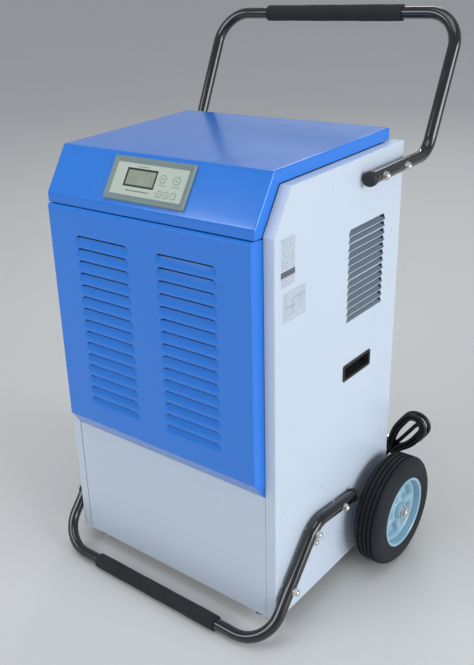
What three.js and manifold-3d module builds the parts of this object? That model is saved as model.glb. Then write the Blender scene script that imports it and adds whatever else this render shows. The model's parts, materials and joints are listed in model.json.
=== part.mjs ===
// Portable refrigerant dehumidifier for commercial use: a sheet-metal cabinet on two rear wheels,
// with a bent-tube push handle behind it and a bent-tube foot in front of it.
// Millimetres, +Z up, the louvred intake door faces -Y and the floor is z = 0.
// Everything is drawn about the cabinet's own centre line and then moved along Y as one group,
// so that the origin is on the floor under the middle of the whole machine.

import * as THREE from 'three';
import { mergeVertices } from 'three/addons/utils/BufferGeometryUtils.js';
import Module from 'manifold-3d';

const wasm = await Module();
wasm.setup();

// ---------------------------------------------------------------- driving dimensions

const SHEET = 1.5;              // thickness of the folded steel sheet
const GAP = 0.3;                // clearance between pieces that touch
const WIDTH = 480;              // cabinet, across the two side panels
const DEPTH = 380;              // cabinet, front strips to back panel
const BASE_Z = 33;              // underside of the cabinet
const SIDE_TOP = 800;           // top edge of the side panels
const SLOPE_FOOT_Z = 733;       // where the sloping front edge of a side panel begins
const SLOPE_HEAD_Y = -146;      // where it ends, at SIDE_TOP
const STRIP = 20;               // width of the folded strip in front of each side panel
const RIM = 20.8;               // width of the folded strip along its slope and top

const LID = { half: 218.5, top: 822, back: 180, head: -159, brow: -208.5, browTop: 748, lip: 732 };
const DOOR = { half: 219.5, face: 215, bottom: 286, top: 730, faceBottom: 318, faceTop: 726, front: -214 };
const INTAKE = { rows: 15, pitch: 22.1, top: 683, height: 12, near: 28, far: 153, depth: 8 };
const VENT = { rows: 13, pitch: 12.55, top: 689.5, height: 10, from: 17, to: 137, taper: 5, depth: 8, rise: 4.5 };
const GRIP = { y: 58, z: 434, length: 92, height: 31, lip: 3, depth: 20 };

const TUBE = { radius: 10.65, wall: 1.5, x: 253, foam: 14.7, cap: 12.5 };
const HANDLE = { start: 60, z: 766, kneeY: 250, topY: 353, topZ: 986, knee: 45, corner: 60, foam: 144 };
const FOOT = { startY: 38, startZ: 177, kneeY: -88, kneeZ: 190, barY: -242, knee: 50, corner: 66, foam: 147 };
const HANDLE_BOLTS = [[85, 766], [158, 766]];
const FOOT_BOLTS = [[-6, 181.5], [-96, 175], [-169, 98]];
const PANEL_BOLT = [-70, 133];

const WHEEL = { y: 137, radius: 108, inner: 257, outer: 313, rim: 68, axle: 7 };
const FAN = { z: 560, hole: 138, tip: 131, hub: 30, y: 146 };
const COIL = { left: -200, right: 180, bottom: 330, top: 760, thick: 44, evaporatorY: -40, condenserY: 42 };
const DECK_Z = 300;

const CORD = { radius: 4, glandX: 176.4, glandZ: 340, exitY: 222, run: 134, tilt: 56 };
const HANK = { x: 237.8, z: 187.4, front: 221, back: 245, outer: 28, inner: 12, tail: 236 };

const HALF = WIDTH / 2;
const FRONT = -DEPTH / 2;
const BACK = DEPTH / 2;
const MACHINE_MIDDLE = (FOOT.barY + HANDLE.topY) / 2;

// ---------------------------------------------------------------- solids

// Turns a closed three.js geometry into a solid that can be joined and cut.
function solid(geometry) {
  const bare = geometry.clone();
  bare.deleteAttribute('normal');
  bare.deleteAttribute('uv');
  const merged = mergeVertices(bare);
  const points = merged.attributes.position.array;
  const corner = (i) => new THREE.Vector3().fromArray(points, 3 * i);
  const triangles = [];
  let volume = 0;
  for (let i = 0; i < merged.index.count; i += 3) {
    const [a, b, c] = [0, 1, 2].map((k) => merged.index.getX(i + k));
    if (a === b || b === c || c === a) continue;
    volume += corner(a).dot(corner(b).cross(corner(c)));
    triangles.push([a, b, c]);
  }
  const outward = triangles.map((t) => (volume < 0 ? [t[0], t[2], t[1]] : t));
  return new wasm.Manifold(new wasm.Mesh({
    numProp: 3,
    vertProperties: new Float32Array(points),
    triVerts: new Uint32Array(outward.flat()),
  }));
}

const join = (...parts) => parts.reduce((a, b) => a.add(b));
const cut = (body, ...tools) => tools.reduce((a, b) => a.subtract(b), body);

function geometryOf(body) {
  const mesh = body.getMesh();
  const geometry = new THREE.BufferGeometry();
  geometry.setAttribute('position', new THREE.BufferAttribute(mesh.vertProperties, 3));
  geometry.setIndex(new THREE.BufferAttribute(mesh.triVerts, 1));
  return geometry;
}

// A box between two limits along each axis, given in either order.
function box(x, y, z) {
  const size = [x, y, z].map(([a, b]) => Math.abs(b - a));
  const middle = [x, y, z].map(([a, b]) => (a + b) / 2);
  return solid(new THREE.BoxGeometry(...size).translate(...middle));
}

// Bases that carry a shape's own x, y and depth onto the machine's axes.
const AXES = {
  x: new THREE.Matrix4().makeBasis(
    new THREE.Vector3(0, 1, 0), new THREE.Vector3(0, 0, 1), new THREE.Vector3(1, 0, 0)),
  y: new THREE.Matrix4().makeBasis(
    new THREE.Vector3(1, 0, 0), new THREE.Vector3(0, 0, 1), new THREE.Vector3(0, -1, 0)),
  z: new THREE.Matrix4(),
};

// An outline of [u, v] points across an axis, run between two stations on that axis.
function prism(axis, outline, from, to, holes = [], curveSegments = 6) {
  const shape = outline instanceof THREE.Shape ? outline : polygon(outline);
  shape.holes.push(...holes.map((hole) => (Array.isArray(hole) ? polygon(hole) : hole)));
  const low = Math.min(from, to);
  const high = Math.max(from, to);
  const options = { depth: high - low, bevelEnabled: false, curveSegments };
  const geometry = new THREE.ExtrudeGeometry(shape, options).applyMatrix4(AXES[axis]);
  const shift = { x: [low, 0, 0], y: [0, high, 0], z: [0, 0, low] }[axis];
  return solid(geometry.translate(...shift));
}

function polygon(points) {
  return new THREE.Shape(points.map(([u, v]) => new THREE.Vector2(u, v)));
}

function rectangle(u, v, width, height) {
  const [a, b] = [width / 2, height / 2];
  return [[u - a, v - b], [u + a, v - b], [u + a, v + b], [u - a, v + b]];
}

function circle(u, v, radius, sides = 16) {
  return Array.from({ length: sides }, (_, i) => {
    const angle = (2 * Math.PI * i) / sides;
    return [u + radius * Math.cos(angle), v + radius * Math.sin(angle)];
  });
}

// A round bar along an axis; its centre is given by the other two coordinates.
function rod(axis, radius, from, to, u, v, sides = 12) {
  return prism(axis, circle(u, v, radius, sides), from, to);
}

// A turned piece about an axis, from a profile of [radius, station] points.
function turned(axis, profile, u = 0, v = 0, segments = 24) {
  const points = profile.map(([r, h]) => new THREE.Vector2(r, h));
  const geometry = new THREE.LatheGeometry(points, segments);
  if (axis === 'x') geometry.rotateZ(-Math.PI / 2).translate(0, u, v);
  if (axis === 'y') geometry.translate(u, 0, v);
  if (axis === 'z') geometry.rotateX(Math.PI / 2).translate(u, v, 0);
  return solid(geometry);
}

// A path of straight runs with rounded corners. Its stations lie only where the path turns.
class BentPath extends THREE.Curve {
  constructor(corners, radii, arcSteps) {
    super();
    const points = corners.map((p) => new THREE.Vector3(...p));
    const direction = (i) => points[i + 1].clone().sub(points[i]).normalize();
    this.stations = [{ point: points[0], tangent: direction(0) }];
    radii.forEach((radius, i) => {
      const [into, out] = [direction(i), direction(i + 1)];
      const bend = into.angleTo(out);
      const side = out.clone().addScaledVector(into, -Math.cos(bend)).normalize();
      const start = points[i + 1].clone().addScaledVector(into, -radius * Math.tan(bend / 2));
      for (let k = 0; k <= arcSteps; k += 1) {
        const turn = (bend * k) / arcSteps;
        const point = start.clone().addScaledVector(into, radius * Math.sin(turn))
          .addScaledVector(side, radius * (1 - Math.cos(turn)));
        const tangent = into.clone().multiplyScalar(Math.cos(turn))
          .addScaledVector(side, Math.sin(turn));
        this.stations.push({ point, tangent });
      }
    });
    this.stations.push({ point: points.at(-1), tangent: direction(points.length - 2) });
  }
  station(t) {
    return this.stations[Math.round(t * (this.stations.length - 1))];
  }
  getPoint(t) {
    return this.station(t).point.clone();
  }
  getPointAt(t) {
    return this.getPoint(t);
  }
  getTangentAt(t) {
    return this.station(t).tangent.clone();
  }
}

// A tube or a bar whose round section follows a path.
function swept(path, steps, radius, bore = 0, sides = 12) {
  const section = polygon(circle(0, 0, radius, sides));
  if (bore > 0) section.holes.push(polygon(circle(0, 0, bore, sides)));
  const options = { steps, extrudePath: path, bevelEnabled: false };
  return solid(new THREE.ExtrudeGeometry(section, options));
}

function bentTube(corners, radii, radius, bore = 0, sides = 8, arcSteps = 3) {
  const path = new BentPath(corners, radii, arcSteps);
  return swept(path, path.stations.length - 1, radius, bore, sides);
}

// ---------------------------------------------------------------- the scene graph

const FINISHES = {
  white_paint: [0xc6d5e6, 0.35, 0.0],
  blue_paint: [0x2f7fdc, 0.25, 0.0],
  black_paint: [0x101214, 0.2, 0.1],
  black_plastic: [0x1b1c1e, 0.6, 0.0],
  foam: [0x2e3032, 0.95, 0.0],
  rubber: [0x26272a, 0.85, 0.0],
  hub_paint: [0xa3c6d2, 0.45, 0.1],
  zinc: [0xc9ccd0, 0.3, 1.0],
  galvanised: [0xb9bec2, 0.45, 0.9],
  bezel_plastic: [0x80908a, 0.5, 0.0],
  overlay_film: [0xb9c6c0, 0.4, 0.0],
  display_glass: [0x8d9a80, 0.15, 0.0],
  copper: [0xb87333, 0.35, 1.0],
  aluminium: [0xd0d4d6, 0.4, 1.0],
  circuit_board: [0x2f6b3a, 0.6, 0.0],
};

const machine = new THREE.Group();
machine.position.y = -MACHINE_MIDDLE;

const controls = new THREE.Group();
const slopeRun = Math.hypot(LID.head - LID.brow, LID.top - LID.browTop);
controls.position.set(0, (LID.head + LID.brow) / 2, (LID.top + LID.browTop) / 2);
controls.rotation.x = Math.atan2(LID.top - LID.browTop, LID.head - LID.brow);
machine.add(controls);

function add(name, finish, body, parent = machine) {
  const [color, roughness, metalness] = FINISHES[finish];
  const material = new THREE.MeshStandardMaterial({ color, roughness, metalness });
  const mesh = new THREE.Mesh(geometryOf(body), material);
  mesh.name = name;
  parent.add(mesh);
  return mesh;
}

const SIDES = [['right', 1], ['left', -1]];

// ---------------------------------------------------------------- cabinet

// The tray that carries the machinery, with two lugs for the axle and two screw-in glides.
function basePan() {
  const [x, y, wall] = [HALF - 2.5, BACK - 3, 25];
  const tray = box([-x, x], [-y, y], [BASE_Z, BASE_Z + wall]);
  const inside = box([SHEET - x, x - SHEET], [SHEET - y, y - SHEET], [BASE_Z + SHEET, BASE_Z + 2 * wall]);
  const parts = [cut(tray, inside)];
  for (const side of [1, -1]) {
    const lug = [[WHEEL.y - 26, BASE_Z + SHEET / 2], [WHEEL.y + 26, BASE_Z + SHEET / 2],
      [WHEEL.y + 14, 125], [WHEEL.y - 14, 125]];
    const bore = circle(WHEEL.y, WHEEL.radius, WHEEL.axle + 0.4);
    parts.push(prism('x', lug, side * 222, side * 228, [bore]));
    parts.push(turned('z', [[0, 12], [7, 12], [9, 15], [9, 20], [4, 21], [4, BASE_Z + 6], [0, BASE_Z + 6]],
      side * 195, -172, 8));
  }
  return join(...parts);
}

// The inner edge of the rim that a side panel folds over at its top and slope.
function foldedRim() {
  const rise = SIDE_TOP - SLOPE_FOOT_Z;
  const run = SLOPE_HEAD_Y - FRONT;
  const length = Math.hypot(rise, run);
  const inward = [(SHEET * rise) / length, (-SHEET * run) / length];
  const foot = SLOPE_FOOT_Z + inward[1] + ((SHEET - inward[0]) * rise) / run;
  const head = SLOPE_HEAD_Y + inward[0] - ((inward[1] + SHEET) * run) / rise;
  return [[FRONT, SLOPE_FOOT_Z], [SLOPE_HEAD_Y, SIDE_TOP], [BACK, SIDE_TOP],
    [BACK, SIDE_TOP - SHEET], [head, SIDE_TOP - SHEET], [FRONT + SHEET, foot], [FRONT, foot]];
}

// A side panel: a sheet with a louvred vent, a hand grip and bolt holes, folded in at front, top and slope.
function sidePanel(side) {
  const outline = [[FRONT, BASE_Z], [BACK, BASE_Z], [BACK, SIDE_TOP], [SLOPE_HEAD_Y, SIDE_TOP],
    [FRONT, SLOPE_FOOT_Z]];
  const holes = [
    rectangle(GRIP.y, GRIP.z, GRIP.length - 2 * GRIP.lip, GRIP.height - 2 * GRIP.lip),
    circle(WHEEL.y, WHEEL.radius, WHEEL.axle + 2),
    ...[...HANDLE_BOLTS, ...FOOT_BOLTS, PANEL_BOLT].map(([y, z]) => circle(y, z, 4, 8)),
  ];
  const flaps = [];
  for (let row = 0; row < VENT.rows; row += 1) {
    const top = VENT.top - row * VENT.pitch;
    const bottom = top - VENT.height;
    holes.push([[VENT.from, bottom], [VENT.to, bottom], [VENT.to - VENT.taper, top], [VENT.from + VENT.taper, top]]);
    const head = bottom + VENT.rise;
    const fold = [[side * HALF, bottom - 0.5], [side * (HALF - SHEET), bottom - 0.5],
      [side * (HALF - VENT.depth - SHEET), head], [side * (HALF - VENT.depth), head]];
    flaps.push(prism('y', fold, VENT.from + VENT.taper, VENT.to - VENT.taper));
  }
  return join(
    prism('x', outline, side * (HALF - SHEET), side * HALF, holes),
    box([side * (HALF - STRIP), side * HALF], [FRONT, FRONT + SHEET], [BASE_Z, SLOPE_FOOT_Z]),
    prism('x', foldedRim(), side * (HALF - RIM), side * HALF),
    ...flaps,
  );
}

// The recessed hand grip that clips into a side panel.
function handGrip(side) {
  const { y, z, length, height, lip, depth } = GRIP;
  const outer = HALF + GAP;
  const cup = prism('x', rectangle(y, z, length - 2 * lip - 1, height - 2 * lip - 1),
    side * (HALF - depth), side * (outer + 0.5));
  const hollow = prism('x', rectangle(y, z, length - 2 * lip - 5, height - 2 * lip - 5),
    side * (HALF - depth + 2), side * (outer + 5));
  const frame = prism('x', rectangle(y, z, length, height), side * outer, side * (outer + 1.2));
  return cut(join(cup, frame), hollow);
}

// The plain white panel under the door.
function lowerFrontPanel() {
  const x = HALF - STRIP - 0.6;
  const top = DOOR.bottom - 1;
  return join(
    box([-x, x], [FRONT, FRONT + SHEET], [BASE_Z + 1, top]),
    box([-x, x], [FRONT, FRONT + 20], [top - SHEET, top]),
    box([x - SHEET, x], [FRONT, FRONT + 15], [BASE_Z + 27, top]),
    box([-x, SHEET - x], [FRONT, FRONT + 15], [BASE_Z + 27, top]),
  );
}

// The back panel, with the round air outlet and the holes for the drain and the mains lead.
function backPanel() {
  const x = HALF - 2;
  const top = SIDE_TOP - 2;
  const sheet = prism('y', rectangle(0, (BASE_Z + 1 + top) / 2, 2 * x, top - BASE_Z - 1), BACK - SHEET, BACK, [
    circle(0, FAN.z, FAN.hole + 2, 28),
    circle(CORD.glandX, CORD.glandZ, 9, 12),
    circle(-180, 75, 10, 12),
  ]);
  return join(sheet, box([-x, x], [BACK - 18, BACK], [top - SHEET, top]));
}

// The blue cap: flat top, slope for the controls, a short brow over the door and side skirts.
function topLid() {
  const { half, top, back, head, brow, browTop, lip } = LID;
  const rim = SIDE_TOP + 1.5;
  const outline = [[back, rim], [back, top], [head, top], [brow, browTop], [brow, lip],
    [FRONT - 1.8, lip], [SLOPE_HEAD_Y - 1, rim]];
  const hollow = [[back - SHEET, 700], [back - SHEET, top - SHEET], [head + 0.8, top - SHEET],
    [brow + SHEET, browTop - 0.4], [brow + SHEET, 700]];
  const window = solid(new THREE.BoxGeometry(156, 60, 40)
    .rotateX(controls.rotation.x).translate(...controls.position.toArray()));
  return cut(prism('x', outline, -half, half), prism('x', hollow, SHEET - half, half - SHEET), window);
}

// A block with the door's shape: upright sides that draw in a little, and a deep bevel at the bottom.
function doorBlock(inset, back) {
  const { half, face, bottom, top, faceBottom, faceTop, front } = DOOR;
  const fromSide = [[back, bottom + 1.4 * inset], [front + inset, faceBottom + 0.6 * inset],
    [front + inset, faceTop - inset], [front + inset + 4, top - inset], [back, top - inset]];
  const fromAbove = [[-half + inset, back], [-face + inset, front + inset], [face - inset, front + inset],
    [half - inset, back]];
  return prism('x', fromSide, -half, half).intersect(prism('z', fromAbove, bottom, top));
}

// The intake door: a shallow blue pan with two columns of louvres pressed inwards.
function frontDoor() {
  const openings = [];
  const flaps = [];
  for (let row = 0; row < INTAKE.rows; row += 1) {
    const top = INTAKE.top - row * INTAKE.pitch;
    const bottom = top - INTAKE.height;
    const fold = [[DOOR.front, bottom - 0.5], [DOOR.front + SHEET, bottom - 0.5],
      [DOOR.front + INTAKE.depth + SHEET, top - 1], [DOOR.front + INTAKE.depth, top - 1]];
    for (const side of [1, -1]) {
      const span = [side * INTAKE.near, side * INTAKE.far];
      openings.push(box(span, [DOOR.front - 1, DOOR.front + 4], [bottom, top]));
      flaps.push(prism('x', fold, ...span));
    }
  }
  const pan = cut(doorBlock(0, FRONT - 0.5), doorBlock(SHEET, FRONT), ...openings);
  return join(pan, ...flaps);
}

// The washable filter behind the louvres: a frame with a thin screen.
function airFilter() {
  const span = rectangle(0, 524, 400, 380);
  const frame = prism('y', span, -202, -194, [rectangle(0, 524, 380, 360)]);
  return join(frame, prism('y', rectangle(0, 524, 384, 364), -198.5, -197.5));
}

// The shelf between the compressor space and the air path.
function midDeck() {
  const pipes = rectangle(214, 10, 40, 90);
  const drain = circle(-180, -40, 9, 12);
  return prism('z', rectangle(0, 0, WIDTH - 6, DEPTH - 8), DECK_Z, DECK_Z + SHEET, [pipes, drain]);
}

// The outlet guard: flat rings joined by four spokes.
function fanGrille() {
  const [near, far] = [BACK + GAP, BACK + GAP + 2];
  const ring = (inner, outer) => prism('y', circle(0, FAN.z, outer, 20), near, far, [circle(0, FAN.z, inner, 20)]);
  const rings = [62, 98].map((inner) => ring(inner, inner + 4));
  return join(
    rod('y', 28, near, far, 0, FAN.z, 16),
    ...rings,
    ring(134, 148),
    box([-140, 140], [near, far], [FAN.z - 2, FAN.z + 2]),
    box([-2, 2], [near, far], [FAN.z - 140, FAN.z + 140]),
  );
}

function buildCabinet() {
  add('base_pan', 'galvanised', basePan());
  for (const [name, side] of SIDES) {
    add(`${name}_side_panel`, 'white_paint', sidePanel(side));
    add(`${name}_hand_grip`, 'black_plastic', handGrip(side));
  }
  add('lower_front_panel', 'white_paint', lowerFrontPanel());
  add('back_panel', 'white_paint', backPanel());
  add('top_lid', 'blue_paint', topLid());
  add('front_door', 'blue_paint', frontDoor());
  add('air_filter', 'black_plastic', airFilter());
  add('mid_deck', 'galvanised', midDeck());
  add('fan_grille', 'black_paint', fanGrille());
}

// ---------------------------------------------------------------- control panel
// Drawn in the plane of the lid's slope: x across, y up the slope, z out of it.

const BUTTONS = [
  ['power_button', 56, 7.5, 7], ['mode_button', 28, 7.5, 7],
  ['down_button', 28.5, -17, 6], ['up_button', 43, -17, 6], ['timer_button', 57.5, -17, 6],
];
const WINDOW = { x: -18.5, y: 3.5, width: 64, height: 30 };

function buttonHoles() {
  return BUTTONS.map(([, x, y, radius]) => circle(x, y, radius + 0.4));
}

function controlBezel() {
  const frame = prism('z', rectangle(0, 0, 170, 74), GAP, 3.5);
  const housing = prism('z', rectangle(0, 0, 152, 56), -10, 1);
  const tray = prism('z', rectangle(0, 0, 150, 54), 1.8, 5);
  const glass = prism('z', rectangle(WINDOW.x, WINDOW.y, WINDOW.width + 1, WINDOW.height + 1), -5, 5);
  return cut(join(frame, housing), tray, glass, ...buttonHoles().map((hole) => prism('z', hole, -4, 5)));
}

function controlOverlay() {
  const window = rectangle(WINDOW.x, WINDOW.y, WINDOW.width + 0.6, WINDOW.height + 0.6);
  return prism('z', rectangle(0, 0, 149.4, 53.4), 2.1, 3, [window, ...buttonHoles()]);
}

// The steel channel behind the slope that carries the circuit board.
function controlShelf() {
  const [x, front, back, floor] = [HALF - 4, -150, -72, 741];
  return join(
    box([-x, x], [front, back], [floor, floor + SHEET]),
    box([-x, x], [front, front + SHEET], [floor, floor + 24]),
    box([-x, x], [back - SHEET, back], [floor, floor + 24]),
  );
}

function controlBoard() {
  const board = 748;
  const parts = [box([-90, 90], [-140, -82], [board, board + 1.6])];
  for (const x of [-82, 82]) {
    for (const y of [-134, -88]) parts.push(rod('z', 3, 742.8, board + 1, x, y, 8));
  }
  const tops = [[-70, -110, 34, 30, 26], [-20, -105, 18, 16, 18], [8, -105, 18, 16, 18], [36, -105, 18, 16, 18]];
  for (const [x, y, width, depth, height] of tops) {
    parts.push(box([x - width / 2, x + width / 2], [y - depth / 2, y + depth / 2], [board + 1, board + height]));
  }
  parts.push(rod('z', 11, board + 1, board + 30, 68, -110, 12));
  return join(...parts);
}

function buildControls() {
  add('control_bezel', 'bezel_plastic', controlBezel(), controls);
  add('control_overlay', 'overlay_film', controlOverlay(), controls);
  const glass = prism('z', rectangle(0, 0, WINDOW.width, WINDOW.height), -4.7, 2.8);
  add('display', 'display_glass', glass, controls).position.set(WINDOW.x, WINDOW.y, 0);
  for (const [name, x, y, radius] of BUTTONS) {
    add(name, 'overlay_film', rod('z', radius, -2, 3.6, 0, 0, 16), controls).position.set(x, y, 0);
  }
  add('control_shelf', 'galvanised', controlShelf());
  add('control_board', 'circuit_board', controlBoard());
}

// ---------------------------------------------------------------- refrigeration

// The hermetic compressor on its three-cornered foot plate, with two pipe stubs.
const COMPRESSOR = { x: 20, y: 0, foot: 92, plate: 58 };

function footAngles() {
  return [90, 210, 330].map((degrees) => THREE.MathUtils.degToRad(degrees));
}

function compressor() {
  const { x, y, foot, plate } = COMPRESSOR;
  const can = turned('z', [[0, 62], [60, 62], [72, 74], [75, 90], [75, 235], [70, 258], [50, 275], [0, 282]], x, y, 14);
  const outline = footAngles().flatMap((angle) => [-0.13, 0.13].map((d) => {
    const reach = foot + 16;
    return [x + reach * Math.cos(angle + d), y + reach * Math.sin(angle + d)];
  }));
  const holes = footAngles().map((a) => circle(x + foot * Math.cos(a), y + foot * Math.sin(a), 6, 12));
  const legs = prism('z', outline, plate, plate + 4.5, holes);
  const stubs = [rod('x', 6, x + 60, 120, 30, 240), rod('x', 4.5, x + 60, 120, -20, 200)];
  return join(can, legs, ...stubs);
}

// A rubber spool between the base pan and one corner of the compressor's foot plate.
function grommet() {
  const low = BASE_Z + SHEET + GAP;
  const { plate } = COMPRESSOR;
  return turned('z', [[0, low], [11, low], [11, plate - GAP], [5.6, plate - GAP],
    [5.6, plate + 4.5 + GAP], [9, plate + 4.5 + GAP], [9, plate + 9], [0, plate + 9]], 0, 0, 12);
}

// A finned coil with end plates and two pipe stubs at its right end.
function coil(y) {
  const { left, right, bottom, top, thick } = COIL;
  const half = thick / 2;
  const core = box([left, right], [y - half + 2, y + half - 2], [bottom + 4, top - 4]);
  const plates = [left, right - 3].map((x) => box([x, x + 3], [y - half, y + half], [bottom, top]));
  const stubs = [[345, 6], [380, 4]].map(([z, radius]) => rod('x', radius, right - 2, right + 14, y, z, 8));
  const bends = [];
  for (let z = 420; z < 730; z += 80) {
    const path = [[right - 2, y, z], [right + 12, y, z], [right + 12, y, z + 40], [right - 2, y, z + 40]];
    bends.push(bentTube(path, [12, 12], 4.5, 0, 6, 2));
  }
  return join(core, ...plates, ...stubs, ...bends);
}

function drainTray() {
  const tray = cut(
    box([-208, 188], [-74, -6], [DECK_Z + SHEET + GAP, 326]),
    box([-206.5, 186.5], [-72.5, -7.5], [DECK_Z + 3.5, 330]),
  );
  const spout = rod('z', 7, 294, DECK_Z + 3, -180, -40, 12);
  return cut(join(tray, spout), rod('z', 5, 290, 310, -180, -40, 12));
}

function drainHose() {
  return bentTube([[-180, -40, 293.7], [-180, -40, 75], [-180, BACK + 24, 75]], [30], 8, 5, 10);
}

function suctionPipe() {
  return bentTube([[120.3, 30, 240], [222, 30, 240], [222, 30, 345], [222, -40, 345], [194.3, -40, 345]],
    [14, 14, 14], 6, 0, 10, 4);
}

function dischargePipe() {
  return bentTube([[120.3, -20, 200], [206, -20, 200], [206, -20, 316], [206, 42, 316], [206, 42, 345],
    [194.3, 42, 345]], [12, 12, 12, 10], 4.5, 0, 8, 4);
}

// The line from condenser to evaporator, with its filter drier.
function liquidLine() {
  const line = bentTube([[194.3, 42, 380], [212, 42, 380], [212, -40, 380], [194.3, -40, 380]],
    [12, 12], 4, 0, 8, 4);
  const drier = turned('y', [[0, -24], [4, -24], [10, -16], [10, 16], [4, 24], [0, 24]], 212, 380, 16);
  return join(line, drier);
}

function buildRefrigeration() {
  add('compressor', 'black_paint', compressor());
  footAngles().forEach((angle, i) => {
    const { x, y, foot } = COMPRESSOR;
    const mesh = add(`compressor_grommet_${i + 1}`, 'rubber', grommet());
    mesh.position.set(x + foot * Math.cos(angle), y + foot * Math.sin(angle), 0);
  });
  add('evaporator', 'aluminium', coil(COIL.evaporatorY));
  add('condenser', 'aluminium', coil(COIL.condenserY));
  add('drain_tray', 'galvanised', drainTray());
  add('drain_hose', 'rubber', drainHose());
  add('suction_pipe', 'copper', suctionPipe());
  add('discharge_pipe', 'copper', dischargePipe());
  add('liquid_line', 'copper', liquidLine());
}

// ---------------------------------------------------------------- fan

const MOUNT_Y = 120;

// The plate that closes off the air path around the fan, with a strap for the motor.
function fanBracket() {
  const plate = prism('y', rectangle(0, 549, 456, 490), MOUNT_Y, MOUNT_Y + SHEET, [circle(0, FAN.z, FAN.hole, 28)]);
  const strap = prism('y', rectangle(0, FAN.z, 44, 2 * FAN.hole + 6), MOUNT_Y, MOUNT_Y + SHEET,
    [circle(0, FAN.z, 8, 12)]);
  const r = FAN.hole;
  const shroud = turned('y', [[r, MOUNT_Y + 1], [r + 1.5, MOUNT_Y + 1], [r + 1.5, 150], [r, 150], [r, MOUNT_Y + 1]],
    0, FAN.z, 28);
  return join(plate, strap, shroud);
}

function fanMotor() {
  const face = MOUNT_Y - GAP;
  return turned('y', [[0, 74], [34, 74], [42, 80], [42, face - 6], [38, face], [6, face], [6, 166], [0, 166]],
    0, FAN.z, 20);
}

// Five pitched blades on a hub, turning about the motor shaft.
function fanImpeller() {
  const parts = [];
  const [blades, halfWidth, pitch] = [5, 0.4, 0.42];
  const sector = new THREE.Shape();
  sector.absarc(0, 0, FAN.tip, -halfWidth, halfWidth, false);
  sector.absarc(0, 0, FAN.hub - 5, halfWidth, -halfWidth, true);
  for (let i = 0; i < blades; i += 1) {
    const blade = new THREE.ExtrudeGeometry(sector, { depth: 2, bevelEnabled: false, curveSegments: 3 });
    blade.translate(0, 0, -1).rotateX(pitch).rotateZ((2 * Math.PI * i) / blades);
    parts.push(solid(blade.rotateX(Math.PI / 2)));
  }
  const hub = turned('y', [[6.4, -20], [FAN.hub, -20], [FAN.hub, 14], [FAN.hub - 4, 18], [6.4, 18], [6.4, -20]]);
  return cut(join(hub, ...parts), rod('y', 6.4, -40, 40, 0, 0, 24));
}

function buildFan() {
  add('fan_bracket', 'galvanised', fanBracket());
  add('fan_motor', 'black_paint', fanMotor());
  add('fan_impeller', 'black_plastic', fanImpeller()).position.set(0, FAN.y, FAN.z);
}

// ---------------------------------------------------------------- handle and foot

function crossBores(bolts) {
  return bolts.map(([y, z]) => rod('x', 4, -HALF - 40, HALF + 40, y, z, 8));
}

// Both tubes are one bend of pipe from side to side: arm, knee, riser, corner, cross bar and back.
function handleTube() {
  const { start, z, kneeY, topY, topZ, knee, corner } = HANDLE;
  const x = TUBE.x;
  const path = [[x, start + GAP, z], [x, kneeY, z], [x, topY, topZ], [-x, topY, topZ], [-x, kneeY, z],
    [-x, start + GAP, z]];
  const tube = bentTube(path, [knee, corner, corner, knee], TUBE.radius, TUBE.radius - TUBE.wall);
  return cut(tube, ...crossBores(HANDLE_BOLTS));
}

function footTube() {
  const { startY, startZ, kneeY, kneeZ, barY, knee, corner } = FOOT;
  const x = TUBE.x;
  const bar = TUBE.foam;
  const path = [[x, startY, startZ], [x, kneeY, kneeZ], [x, barY, bar], [-x, barY, bar], [-x, kneeY, kneeZ],
    [-x, startY, startZ]];
  const tube = bentTube(path, [knee, corner, corner, knee], TUBE.radius, TUBE.radius - TUBE.wall);
  return cut(tube, ...crossBores(FOOT_BOLTS));
}

function foamSleeve(half) {
  const bore = TUBE.radius + 0.35;
  return turned('x', [[bore, -half], [TUBE.foam, -half], [TUBE.foam, half], [bore, half], [bore, -half]], 0, 0, 16);
}

// A plastic cap whose stem goes into the open end of a tube; it points along -Y before it is placed.
function tubeCap() {
  const stem = TUBE.radius - TUBE.wall - 1.1;
  return turned('y', [[0, 14], [stem, 14], [stem, 0], [TUBE.cap, 0], [TUBE.cap, -9], [TUBE.cap - 3, -12], [0, -12]],
    0, 0, 12);
}

// Studs on a backing strap inside the cabinet go through the panel and the tube to domed nuts.
function studs(side, outline, bolts) {
  const inner = HALF - SHEET - GAP;
  const tubeSide = TUBE.x + TUBE.radius + GAP;
  const parts = [prism('x', outline, side * (inner - 3.2), side * inner)];
  for (const [y, z] of bolts) {
    parts.push(rod('x', 3.5, side * (inner - 1), side * (tubeSide + 2), y, z, 6));
    parts.push(rod('x', 7, side * (HALF + GAP), side * (TUBE.x - TUBE.radius - GAP), y, z, 6));
    parts.push(domedNut(side, tubeSide, y, z));
  }
  return join(...parts);
}

function domedNut(side, base, y, z) {
  const profile = [[0, 0], [6, 0], [6, 3], [4.5, 5], [0, 6.2]].map(([r, h]) => [r, side * (base + h)]);
  return turned('x', profile, y, z, 8);
}

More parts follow.
